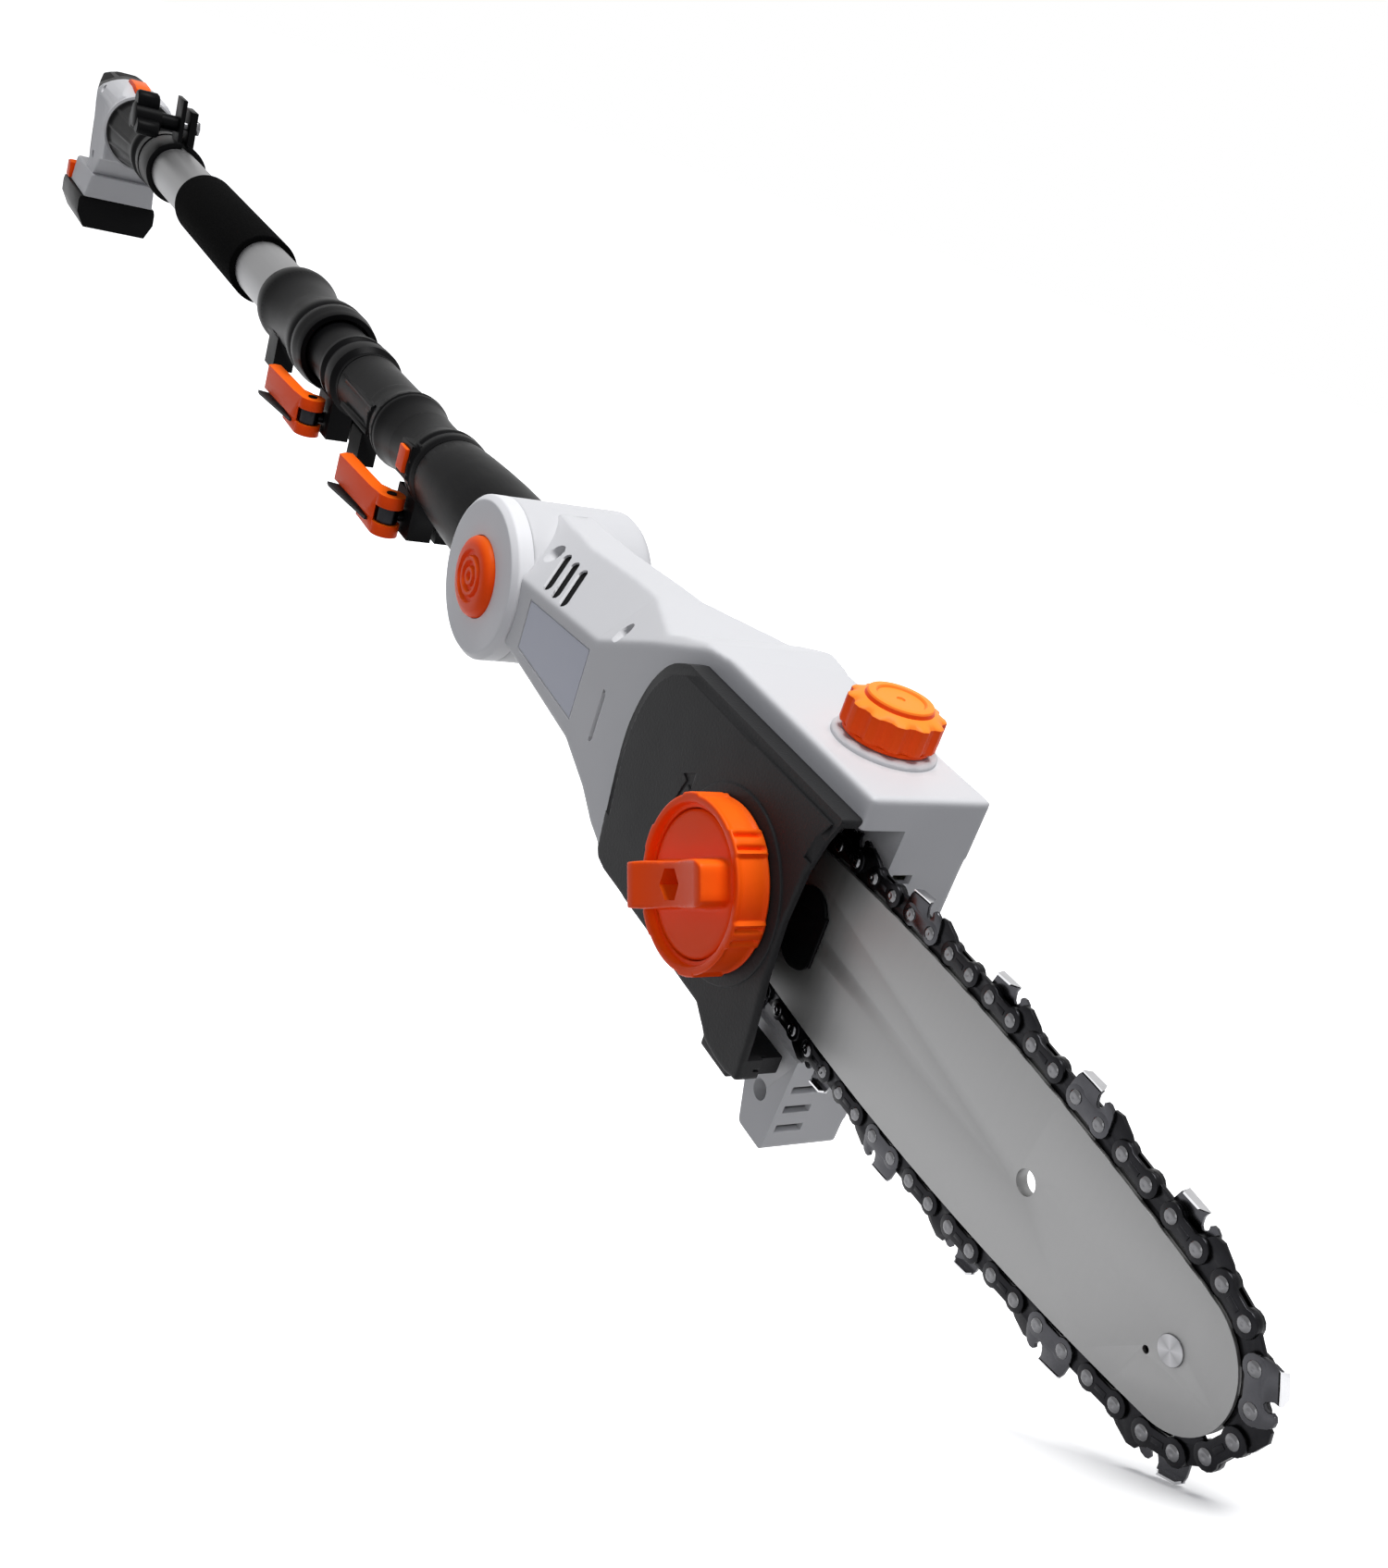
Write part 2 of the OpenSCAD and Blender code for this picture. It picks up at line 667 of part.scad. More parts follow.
module motor_can() {
    color(steel) at_datum() difference() {
        rod_x(motor_rear, motor_front, motor_r);
        rod_x(motor_rear + 2, motor_front - 3, motor_r - 1.5);
        rod_x(motor_rear - 16, motor_front + 12, shaft_r + run_clear);
    }
}

module rotor() {
    color(charcoal) at_datum() difference() {
        union() {
            rod_x(motor_rear - 4, pinion_x + 5, shaft_r);
            rod_x(motor_rear + 14, motor_front - 23, motor_r - 6);
            rod_x(motor_front - 20, motor_front - 8, 8);
        }
        for (i = [0 : 8]) rotate([40 * i, 0, 0])
            box([motor_rear + 13, -1.2, motor_r - 10], [motor_front - 22, 1.2, motor_r]);
    }
}

module pinion() {
    color(steel) at_datum() difference() {
        union() {
            rod_x(pinion_x - 5, pinion_x + 5, pinion_r - 0.7);
            for (i = [0 : pinion_teeth - 1]) rotate([360 / pinion_teeth * i, 0, 0])
                box([pinion_x - 3, 0, -0.7], [pinion_x + 3, pinion_r + tooth_h / 2, 0.7]);
        }
        rod_x(pinion_x - 6, pinion_x + 6, shaft_r);
    }
}

module crown_gear() {
    color(steel) at_datum() translate([spindle_x, 0, 0]) difference() {
        union() {
            rod_y(face_y, face_y + 2.6, gear_mean_r + 3);
            rod_y(2, face_y + 2.6, 8.5);
            for (i = [0 : gear_teeth - 1]) rotate([0, 360 / gear_teeth * (i + 0.5), 0])
                box([-gear_mean_r - 2.6, pinion_r - tooth_h / 2, -0.7],
                    [-gear_mean_r + 2.6, face_y + 0.1, 0.7]);
        }
        rod_y(-10, 20, spindle_r);
    }
}

module spindle() {
    color(steel) at_datum() translate([spindle_x, 0, 0]) {
        rod_y(-25, 16.4, spindle_r);
        rod_y(-23.6, -22.6, 7.5);
    }
}

module drive_sprocket() {
    rim_r = sprocket_pitch_r - link_r - 0.4;
    color(charcoal) at_datum() translate([spindle_x, 0, 0]) difference() {
        rod_y(-22.2, -14.4, rim_r);
        // Groove in which the drive links' tangs run
        ring_y(-bar_y - gauge / 2 - 0.3, -bar_y + gauge / 2 + 0.3, rim_r + 1, sprocket_pitch_r - 10.6);
        // Windows that let chips out
        for (i = [0 : sprocket_teeth - 1]) rotate([0, 360 / sprocket_teeth * i, 0])
            translate([rim_r - 3.3, 0, 0]) rod_y(-30, 0, 1.9);
        rod_y(-30, 0, spindle_r);
    }
}

module spindle_bearings() {
    color(steel) at_datum() translate([spindle_x, 0, 0]) {
        ring_y(-11.6, -4.6, bearing_r, spindle_r + run_clear);
        ring_y(11.2, 16.2, bearing_far_r, spindle_r + run_clear);
    }
}

// ---- oil ----

cap_x = -11.6;
cap_y = -3.4;
tank_neck_r = 10.4;

module oil_tank() {
    color("#c8c8b8") at_datum() difference() {
        union() {
            box([-42, -recess_y + head_wall, 18], [15, split_y - 0.2, block_top - head_wall - 0.2]);
            translate([cap_x, cap_y, 0]) intersection() {
                rod_z(50, block_top + 9, tank_neck_r);
                box([-30, -7, 0], [30, 14, 100]);
            }
            translate([cap_x, cap_y, 0]) rod_z(block_top - head_wall - 0.2, block_top + 9, tank_neck_r);
        }
        box([-40, -recess_y + head_wall + 2, 20], [13, split_y - 2, block_top - head_wall - 2.2]);
        translate([cap_x, cap_y + 2, 0]) rod_z(40, 80, 6);
        for (p = head_screw_at) translate([p[0], 0, p[1]]) rod_y(-60, 60, head_boss_r + gap);
        translate([9, -20, 22]) cube([20, 30, 12]);
    }
}

flute_r = 2.4;

module oil_cap() {
    z0 = block_top + 2 + gap;
    color(orange) at_datum() translate([cap_x, cap_y, 0]) difference() {
        union() {
            rod_z(z0, z0 + oil_cap_h, oil_cap_r - 1.2);
            for (i = [0 : 11]) rotate([0, 0, 30 * i])
                translate([oil_cap_r - flute_r, 0, 0]) rod_z(z0, z0 + oil_cap_h - 1, flute_r);
            translate([0, 0, z0 + oil_cap_h - 1]) cylinder(r1 = oil_cap_r - 0.6, r2 = oil_cap_r - 4.6, h = 3);
            rod_z(z0 + oil_cap_h, z0 + oil_cap_h + 3.6, oil_cap_r - 5);
        }
        rod_z(z0 - 1, block_top + 9 + gap, tank_neck_r + run_clear);
        rod_z(z0 + oil_cap_h + 2.8, z0 + oil_cap_h + 10, 7.6);
    }
}

module oil_pump() {
    color("#9a9a90") at_datum() union() {
        box([-44, -recess_y + head_wall, -32], [-26, 2, -18]);
        translate([-35, 0, -25]) rod_y(-recess_y + head_wall, 6, 5);
    }
}

// ---- bar and chain ----

bar_tail_x = spindle_x + 27;
edge_in = 4.2;
groove_in = 10.8;
groove_t = 1.6;

// Flat outline that follows the chain's path at a distance inside it.
module bar_outline(inset) {
    translate([nose_x, 0]) circle(r = nose_r - inset);
    intersection() {
        translate([crown_cx, -crown_cz]) circle(r = crown_r - inset, $fn = 360);
        translate([crown_cx, crown_cz]) circle(r = crown_r - inset, $fn = 360);
        translate([bar_tail_x, -60])
            square([nose_x + (nose_r - inset) * cos(a_nose) - bar_tail_x, 120]);
    }
}

module guide_bar() {
    color("#9c9c9c") at_datum() difference() {
        slab_y(-bar_y - bar_t / 2, -bar_y + bar_t / 2) bar_outline(edge_in);
        // Groove for the drive links, and the slot of the nose sprocket
        difference() {
            slab_y(-bar_y - groove_t / 2, -bar_y + groove_t / 2)
                translate([-150, -80]) square([400, 160]);
            slab_y(-bar_y - 5, -bar_y + 5) bar_outline(groove_in);
        }
        translate([nose_x, 0, 0]) rod_y(-bar_y - groove_t / 2, -bar_y + groove_t / 2, nose_r - 8);
        // Slot on the stud, with round ends
        slab_y(-40, 0) translate([-knob_back - 12, -stud_r - 0.3]) square([24, 2 * stud_r + 0.6]);
        for (s = [-12, 12]) translate([-knob_back + s, 0, 0]) rod_y(-40, 0, stud_r + 0.3);
        translate([hang_hole_x, 0, 0]) rod_y(-40, 0, hang_hole_r);
        translate([168.5, 0, -5.5]) rod_y(-40, 0, 1);
        translate([nose_x, 0, 0]) rod_y(-40, 0, 3.2);
    }
}

module nose_sprocket() {
    color(charcoal) at_datum() translate([nose_x, 0, 0]) difference() {
        union() {
            rod_y(-bar_y - 0.6, -bar_y + 0.6, 10);
            for (i = [0 : 9]) rotate([0, 36 * i, 0])
                box([8, -bar_y - 0.6, -1], [12.2, -bar_y + 0.6, 1]);
        }
        rod_y(-40, 0, 3.2 + run_clear);
    }
}

module nose_rivet() {
    color("#c8c8c8") at_datum() translate([nose_x, 0, 0]) {
        rod_y(-bar_y - bar_t / 2 - 0.3, -bar_y + bar_t / 2 + 0.3, 3.2);
        rod_y(-bar_y - bar_t / 2 - 0.4, -bar_y - bar_t / 2, 3.8);
        rod_y(-bar_y + bar_t / 2, -bar_y + bar_t / 2 + 0.4, 3.8);
    }
}

stud_r = 4;

module bar_stud() {
    color(steel) at_datum() translate([-knob_back, 0, 0]) {
        rod_y(2.5 - ring_y0 - knob_h + 2, -5, stud_r);
        rod_y(-bar_y + bar_t / 2, -recess_y, 9);
    }
}

// Tensioner's slide plate, riveted to the bar's near face
module bar_plate() {
    y0 = -bar_y - bar_t / 2;
    color(black) at_datum() difference() {
        union() {
            for (z = [-5, 5]) translate([5, 0, z]) rod_y(y0 - 1.2, y0, 9);
            slab_y(y0 - 1.2, y0) translate([-6.5, -5]) square([20.5, 10]);
            slab_y(y0 - 1.2, y0) translate([-4, -9]) square([18, 18]);
        }
        translate([-knob_back, 0, 0]) rod_y(-40, 0, 9.5);
    }
}

// Point on the loop of rivets at a distance along it from the nose's foremost point.
len_nose = nose_r * a_nose * PI / 180;
len_crown = crown_r * (a_tail - a_nose) * PI / 180;
len_tail = sprocket_pitch_r * (180 - a_tail) * PI / 180;
len_half = len_nose + len_crown + len_tail;

function arc_at(cx, cz, r, a) = [cx + r * cos(a), cz + r * sin(a)];
function half_at(s) = s < len_nose ? arc_at(nose_x, 0, nose_r, s / nose_r * 180 / PI)
    : s < len_nose + len_crown
        ? arc_at(crown_cx, -crown_cz, crown_r, a_nose + (s - len_nose) / crown_r * 180 / PI)
    : arc_at(spindle_x, 0, sprocket_pitch_r,
        a_tail + (s - len_nose - len_crown) / sprocket_pitch_r * 180 / PI);
function loop_at(s) = s <= len_half ? half_at(s)
    : let (p = half_at(2 * len_half - s)) [p[0], -p[1]];
step = 2 * len_half / rivets;
chain_start = len_half + 5.5;
function rivet(i) = loop_at((chain_start + step * (i % rivets)) % (2 * len_half));

// Places a link's own frame: origin at its first rivet, +X to its second, +Y towards the bar.
module on_link(i) {
    p = rivet(i);
    q = rivet(i + 1);
    translate([p[0], p[1]]) rotate(atan2(q[1] - p[1], q[0] - p[0])) children();
}

link_r = 3.5;
strap_t = 1;
rivet_r = 1.6;

module strap() {
    circle(r = link_r);
    translate([pitch, 0]) circle(r = link_r);
    translate([0, -2.6]) square([pitch, 5.2]);
}

// Drive link with its tang in the bar's groove; a guard link has a hump in front of a cutter.
module drive_link(guard) {
    circle(r = link_r);
    translate([pitch, 0]) circle(r = link_r);
    polygon([[0, -2.6], [pitch, -2.6], [pitch, 2.4], [6.6, 8.6], [4.4, 9.6], [1.2, 8], [0, 2.4]]);
    if (guard) polygon([[-1.5, -2.4], [1.5, -4.6], [6, -6.4], [8.6, -5.8], [pitch + 1, -2.4]]);
}

module all_rivets(y0, y1) {
    for (i = [0 : rivets - 1])
        let (p = rivet(i)) translate([p[0], 0, p[1]]) rod_y(y0, y1, rivet_r);
}

module chain_drive_links() {
    color(charcoal) at_datum() difference() {
        slab_y(-bar_y - gauge / 2, -bar_y + gauge / 2)
            for (i = [0 : 2 : rivets - 1]) on_link(i) drive_link(i % 4 == 0 && i < rivets - 4);
        all_rivets(-bar_y - 5, -bar_y + 5);
    }
}

// Side straps on both faces with the rivets; each strap joins two drive links.
module chain_tie_links() {
    y1 = gauge / 2;
    y2 = y1 + strap_t;
    color("#3a3a3c") at_datum() {
        for (i = [1 : 2 : rivets - 1]) {
            if (cutter_side(i) != 1) slab_y(-bar_y - y2, -bar_y - y1) on_link(i) strap();
            if (cutter_side(i) != -1) slab_y(-bar_y + y1, -bar_y + y2) on_link(i) strap();
        }
        all_rivets(-bar_y - y2 - 0.8, -bar_y + y2 + 0.8);
    }
}

// +1 for a cutter on the near side of a tie, -1 for one on the far side, 0 for none.
function cutter_side(i) = i % 4 != 1 || i > rivets - 4 ? 0 : i % 8 == 1 ? 1 : -1;

module cutter_plate() {
    strap();
    polygon([[-3.2, 0], [-1.5, -5.6], [1.3, -6.4], [2.1, -3.2], [3.9, -4], [4.1, -7.6],
        [11.7, -7.2], [pitch + 3.2, 0]]);
}

module chain_cutters() {
    y1 = gauge / 2;
    y2 = y1 + strap_t;
    color("#b8b8b8") at_datum() difference() {
        for (i = [1 : 4 : rivets - 4]) {
            side = cutter_side(i);
            near = side == 1 ? -y2 : -1.2;
            far = side == 1 ? 1.2 : y2;
            slab_y(-bar_y + (side == 1 ? -y2 : y1), -bar_y + (side == 1 ? -y1 : y2))
                on_link(i) cutter_plate();
            slab_y(-bar_y + near, -bar_y + far) on_link(i) translate([4.1, -7.6]) square([7, 1]);
        }
        all_rivets(-bar_y - 5, -bar_y + 5);
    }
}

// ---- sprocket cover and knob ----

cover_wall = 2.4;

// Cover's outline; w shrinks it.
function cover_outline(w) = [
    [-74.7 + 0.3 * w, 48.1 - w], [-85 + 0.7 * w, 44 - w], [-93 + 0.9 * w, 34 - 0.4 * w],
    [-97.5 + w, 22], [-99.9 + w, 6.1], [-93.4 + w, -34.1 + 0.5 * w], [-91 + w, -36.8 + w],
    [-86 + w, -38 + w], [-51, -39 + w], [-11.6, -40.2 + w], [-1.5, -46.7 + w], [6.3, -47.8 + w],
    [13.1, -47.8 + w], [19.7 - w, -46.7 + w], [18.4 - w, -31], [14.8 - w, -9.5], [13.4 - w, 8],
    [14.6 - w, 26.5], [17.6 - w, 38.5], [21.6 - w, 48.5 - w]];

module sprocket_cover() {
    color(charcoal) at_datum() difference() {
        union() {
            slab_y(-cover_y, -barrel_hw - 0.02) polygon(cover_outline(0));
            translate([-knob_back, 0, 0]) rod_y(-cover_y - 0.7, -cover_y + 1, knob_r + 3.4);
            // Chain catcher below the bar
            box([-4, -cover_y + 1, -50.5], [13.4, -17, -43.6]);
            box([-4, -cover_y + 1, -44], [13.4, -24, -33.6]);
        }
        intersection() {
            slab_y(-cover_y + cover_wall, 0) polygon(cover_outline(cover_wall));
            box([-150, -60, -42.5], [60, 0, 60]);
        }
        // Slit in the catcher's front
        box([10, -32, -43.6], [20, -17, -42.6]);
        // Mouth for the bar and chain
        slab_y(-cover_y + cover_wall, 0) polygon([[-10, 45], [40, 45], [40, -40], [-10, -38]]);
        translate([-knob_back, 0, 0]) rod_y(-60, 0, ring_hub_r + gap);
    }
}

ring_hub_r = 16;
ring_bore_r = 10;
ring_y0 = cover_y + 1;

module knob_ring() {
    color(orange) at_datum() translate([-knob_back, 0, 0]) difference() {
        union() {
            rod_y(-ring_y0 - knob_h, -ring_y0, knob_r);
            rod_y(-ring_y0 - 1, -30, ring_hub_r);
        }
        rod_y(-ring_y0 - knob_h - 1, -ring_y0 - 3, knob_core_r + gap);
        rod_y(-80, 0, ring_bore_r);
        // Finger grooves in pairs between the ring's flats
        for (i = [0 : 5], j = [-5, 5]) rotate([0, 60 * i + j, 0])
            translate([knob_r + 0.6, 0, 0]) rod_y(-ring_y0 - knob_h - 1, -ring_y0 + 1, 1.5);
        for (i = [0 : 5]) rotate([0, 60 * i + 30, 0])
            box([knob_r - 0.9, -ring_y0 - knob_h - 1, -8], [knob_r + 5, -ring_y0 + 1, 8]);
    }
}

grip_tilt = 34.3;
grip_h = 9.1;

module knob_core() {
    y_face = -ring_y0 - knob_h;
    y_disc = y_face + 2;
    color(orange) at_datum() translate([-knob_back, 0, 0]) difference() {
        union() {
            rod_y(y_disc, y_disc + 6.7, knob_core_r);
            rod_y(y_disc + 5, -30, ring_bore_r - run_clear);
            // Grip bar across the disc, waisted in its middle
            rotate([0, -grip_tilt, 0]) slab_y(y_face - grip_h, y_disc + 1)
                polygon([[-21.6, -7.1], [-9, -6], [0, -5.8], [9, -6], [21.6, -7.1], [21.6, 7.1],
                    [9, 6], [0, 5.8], [-9, 6], [-21.6, 7.1]]);
        }
        rod_y(y_disc + 2.2, 0, stud_r + run_clear);
        translate([0, y_face + 1, 0]) rotate([90, 0, 0]) cylinder(r = 4.6, h = 20, $fn = 6);
    }
}

// ---- rear handle ----

foot_z = -66;
foot_top = -45.5;
foot_rear = -275;
battery_rear = -291;
foot_front = battery_rear + battery_len + 2;
rail_front = battery_rear + battery_len - 19.5;
terminal_len = 12;
channel_front = rail_front + terminal_len + 0.5;
channel_hw = 20.9;
channel_top = -48.1;

// Side outline of the grip body, in X and Z
function handle_outline(w) = [
    [bell_x - 2 - w, 26 - w], [-195, 31 - w], [-225, 32.5 - w], [-252, 32 - w], [-272 + w, 22 - w],
    [-292 + w, 5], [-303 + w, -15], [-305 + w, -38], [-305 + w, foot_top + w - 2],
    [foot_front - w, foot_top + w - 2], [-192 - w, -30], [bell_x - 2 - w, -26]];

// Outline from above
function handle_plan(w) = [
    [bell_x - 2 - w, -25.5 + w], [bell_x - 2 - w, 25.5 - w], [-200, column_hw - w],
    [-238, column_hw - w], [-264, grip_hw + 2.5 - w], [-290, grip_hw - w], [-306 + w, grip_hw - 3],
    [-306 + w, 3 - grip_hw], [-290, w - grip_hw], [-264, w - grip_hw - 2.5],
    [-238, w - column_hw], [-200, w - column_hw]];

// Outline from the front
function handle_front(w) = [
    [-26 + w, -60], [-26 + w, 10], [-21 + w, 22 - w / 2], [-11, 33 - w], [11, 33 - w],
    [21 - w, 22 - w / 2], [26 - w, 10], [26 - w, -60]];

// Finger loop; w makes it larger
function finger_loop(w) = [
    [-236 + w, 4], [-242 + w, 9 + w], [-262, 9 + w], [-270 - w, 1], [-275.5 - w, -18],
    [-275.5 - w, foot_top + 2.2 - w], [-236 + w, foot_top + 2.2 - w], [-230 + w, -30]];

module handle_solid(w) {
    intersection() {
        slab_y(-30, 30) polygon(handle_outline(w));
        translate([0, 0, -60]) linear_extrude(height = 120) polygon(handle_plan(w));
        rotate([90, 0, 90]) translate([0, 0, -320]) linear_extrude(height = 200)
            polygon(handle_front(w));
    }
}

// Foot: a wide block that takes the battery's rail.
module foot_solid() {
    intersection() {
        slab_y(-30, 30) polygon([[foot_rear, foot_top], [foot_front + 9, foot_top],
            [foot_front, foot_z], [foot_rear, foot_z]]);
        rotate([90, 0, 90]) translate([0, 0, -320]) linear_extrude(height = 200)
            polygon([[-25, foot_top], [-28, foot_z], [28, foot_z], [25, foot_top]]);
    }
}

handle_screw_at = [[-224, 20], [-220, -32], [-294, -24], [-268, 14.5]];
boss_r = 3.8;

module handle_body() {
    difference() {
        union() {
            handle_solid(0);
            foot_solid();
            rod_x(bell_x - 3, bell_x, bell_r);
        }
        difference() {
            handle_solid(handle_wall);
            slab_y(-40, 40) polygon(finger_loop(handle_wall));
            // Bulkheads round the outer tube
            for (x = [-198, -178]) box([x, -40, -40], [x + 4, 40, 40]);
            for (p = handle_screw_at) translate([p[0], 0, p[1]]) rod_y(-40, 40, boss_r);
        }
        slab_y(-40, 40) polygon(finger_loop(0));
        rod_x(-202, bell_x + 1, tube_r);
        box([-320, -channel_hw, foot_z - 1], [channel_front, channel_hw, channel_top]);
        // Slots of the trigger and of the lock-off button
        box([-290, -6 - gap, -16 - gap], [-260, 6 + gap, 3 + gap]);
        box([-213 - gap, -6 - gap, 20], [-181 + gap, 6 + gap, 40]);
        for (p = handle_screw_at) translate([p[0], 0, p[1]]) {
            rod_y(-60, -10, 1.6);
            rod_y(-60, -grip_hw + 4.4, 3.3);
            rod_y(-11, 7, 1.6);
        }
        overmould_skin();
    }
}

// Soft skin over the hump and the back of the grip
skin_t = 1.4;

module overmould_skin() {
    difference() {
        intersection() {
            handle_solid(0);
            slab_y(-40, 40) polygon([[-224, 50], [-234, 27], [-246, 20], [-266, 14], [-283, -4],
                [-288, -40], [-320, -40], [-320, 50]]);
        }
        handle_solid(skin_t);
    }
}

module grip_overmould() { color(black) overmould_skin(); }

module handle_shell_left() {
    color(light_grey) intersection() {
        handle_body();
        box([-vast, -vast, -vast], [vast, 0, vast]);
    }
}

module handle_shell_right() {
    color(light_grey) intersection() {
        handle_body();
        box([-vast, 0, -vast], [vast, vast, vast]);
    }
}

module handle_screws() {
    color(steel) for (p = handle_screw_at) translate([p[0], 0, p[1]]) {
        rod_y(-grip_hw + 2.2, -grip_hw + 4.4, 3);
        rod_y(-grip_hw + 4.3, 7, 1.6);
    }
}

module bell_cone() {
    color(black) lathe_ring([
        [bell_x, 27.4], [bell_x + 14, 26.2], [bell_x + 40, 24.2], [bell_x + 72, 21.6],
        [bell_x + 74, 23], [bell_x + 84, 23], [bell_x + 86, 21], [bell_x + 92, 21],
        [bell_x + 94, 22.4], [bell_x + 102, 22.4]], tube_r);
}

module trigger() {
    color(orange) slab_y(-6, 6) polygon([[-265, 3], [-263, -5], [-265.5, -16], [-283, -16], [-283, 3]]);
}

module lock_off_button() {
    color(orange) slab_y(-6, 6)
        polygon([[-213, 23], [-213, 33.2], [-206, 34.8], [-188, 34], [-181, 32], [-181, 23]]);
}

module switch_module() {
    color(charcoal) box([-257, -9, 9 + handle_wall], [-232, 9, 23.5]);
}

module terminal_block() {
    color(charcoal) difference() {
        box([channel_front - terminal_len, -16, foot_z + 2], [channel_front, 16, channel_top - 1.9]);
        // Slits of the contacts
        for (y = [-9, 0, 9]) box([channel_front - terminal_len - 1, y - 0.6, foot_z + 6],
            [channel_front - terminal_len / 2, y + 0.6, foot_z + 12]);
    }
}

strap_x = -51;

module strap_clamp() {
    x0 = strap_x - 14;
    x1 = strap_x + 14;
    color(black) difference() {
        union() {
            rod_x(x0, x1, 22);
            box([x0 + 4, -2, 15], [x1 - 4, 1, 52]);
            box([x0 + 4, 5, 15], [x1 - 4, 10, 45]);
        }
        rod_x(x0 - 1, x1 + 1, tube_r);
        box([x0 - 1, 1, 10], [x1 + 1, 5, 60]);
        translate([strap_x, 0, 33]) rod_y(-40, 40, 3);
    }
}

module strap_bolt() {
    color(steel) translate([strap_x, 0, 33]) {
        rod_y(-30, 12, 3);
        translate([0, 10, 0]) rotate([-90, 0, 0]) cylinder(r = 5.5, h = 4, $fn = 6);
    }
}

// Wing knob on the strap's bolt, with its long collar
module wing_knob() {
    color(black) translate([strap_x, 0, 33]) difference() {
        union() {
            rod_y(-16, -2 - gap, 5.5);
            rod_y(-34, -15, 9);
            box([-6, -33, -18], [6, -17.4, 18]);
        }
        rod_y(-31, 5, 3 + run_clear);
    }
}

battery_top = foot_z - gap;
battery_bottom = battery_top - battery_h;

// Front outline of the battery with its rail; w shrinks it.
function battery_front(w) = [
    [-20.4 + w, channel_top - gap - w], [20.4 - w, channel_top - gap - w],
    [20.4 - w, battery_top - w], [battery_hw - 1 - w, battery_top - w],
    [battery_hw - w, battery_top - 4], [battery_hw - w, battery_bottom + 12],
    [battery_hw - 6 - w, battery_bottom + w], [6 + w - battery_hw, battery_bottom + w],
    [w - battery_hw, battery_bottom + 12], [w - battery_hw, battery_top - 4],
    [1 + w - battery_hw, battery_top - w], [-20.4 + w, battery_top - w]];

module battery_case() {
    color(black) difference() {
        rotate([90, 0, 90]) translate([0, 0, battery_rear])
            linear_extrude(height = battery_len) polygon(battery_front(0));
        rotate([90, 0, 90]) translate([0, 0, battery_rear + 3])
            linear_extrude(height = battery_len - 6) polygon(battery_front(2));
        // The rail ends short of the terminals, which reach into its front
        box([rail_front, -25, battery_top], [foot_front + 13, 25, -40]);
    }
}

cell_r = 8.8;

module battery_cells() {
    color("#3d6fa8") translate([battery_rear + 5, 0, 0]) {
        for (y = [-18.2, 0, 18.2]) translate([0, y, battery_bottom + 12.5]) rod_x(0, 52, cell_r);
        for (y = [-9.1, 9.1]) translate([0, y, battery_bottom + 29]) rod_x(0, 48, cell_r);
    }
}

module battery_button() {
    color(orange) slab_y(1.5 - battery_hw, 7.5 - battery_hw) translate([battery_rear, battery_top])
        polygon([[1, gap], [3, 13.4], [11, 15.4], [14, 13.4], [14, gap]]);
}

handle_shell_left();
handle_shell_right();
grip_overmould();
handle_screws();
bell_cone();
switch_module();
terminal_block();
strap_clamp();
strap_bolt();
wing_knob();
outer_tube();
foam_grip();
collar_a();
clamp_sleeve_a();
clamp_bolt_a();
lever_pin_a();
cam_lever_a();
lever_pad_a();
trigger();
lock_off_button();
battery_case();
battery_cells();
battery_button();
inner_tube();
coupler();
clamp_bolt_b();
lever_pin_b();
cam_lever_b();
lever_pad_b();
neck_tube();
pivot_pin();
detent_button();
head_housing();
head_back_cover();
pivot_cap();
head_screws();
pivot_button();
motor_can();
rotor();
pinion();
spindle();
crown_gear();
drive_sprocket();
spindle_bearings();
oil_tank();
oil_cap();
oil_pump();
guide_bar();
bar_plate();
bar_stud();
nose_sprocket();
nose_rivet();
sprocket_cover();
chain_drive_links();
chain_tie_links();
chain_cutters();
knob_ring();
knob_core();
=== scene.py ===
"""Looks of a telescoping pole saw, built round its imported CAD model. Materials, camera, lamps
and ground are in metres; the outlines of pieces are in millimetres, in the frame of the saw's
head or, where origin is 0, in that of the whole saw."""
import json
import math

import bmesh
import bpy
from mathutils import Matrix, Vector


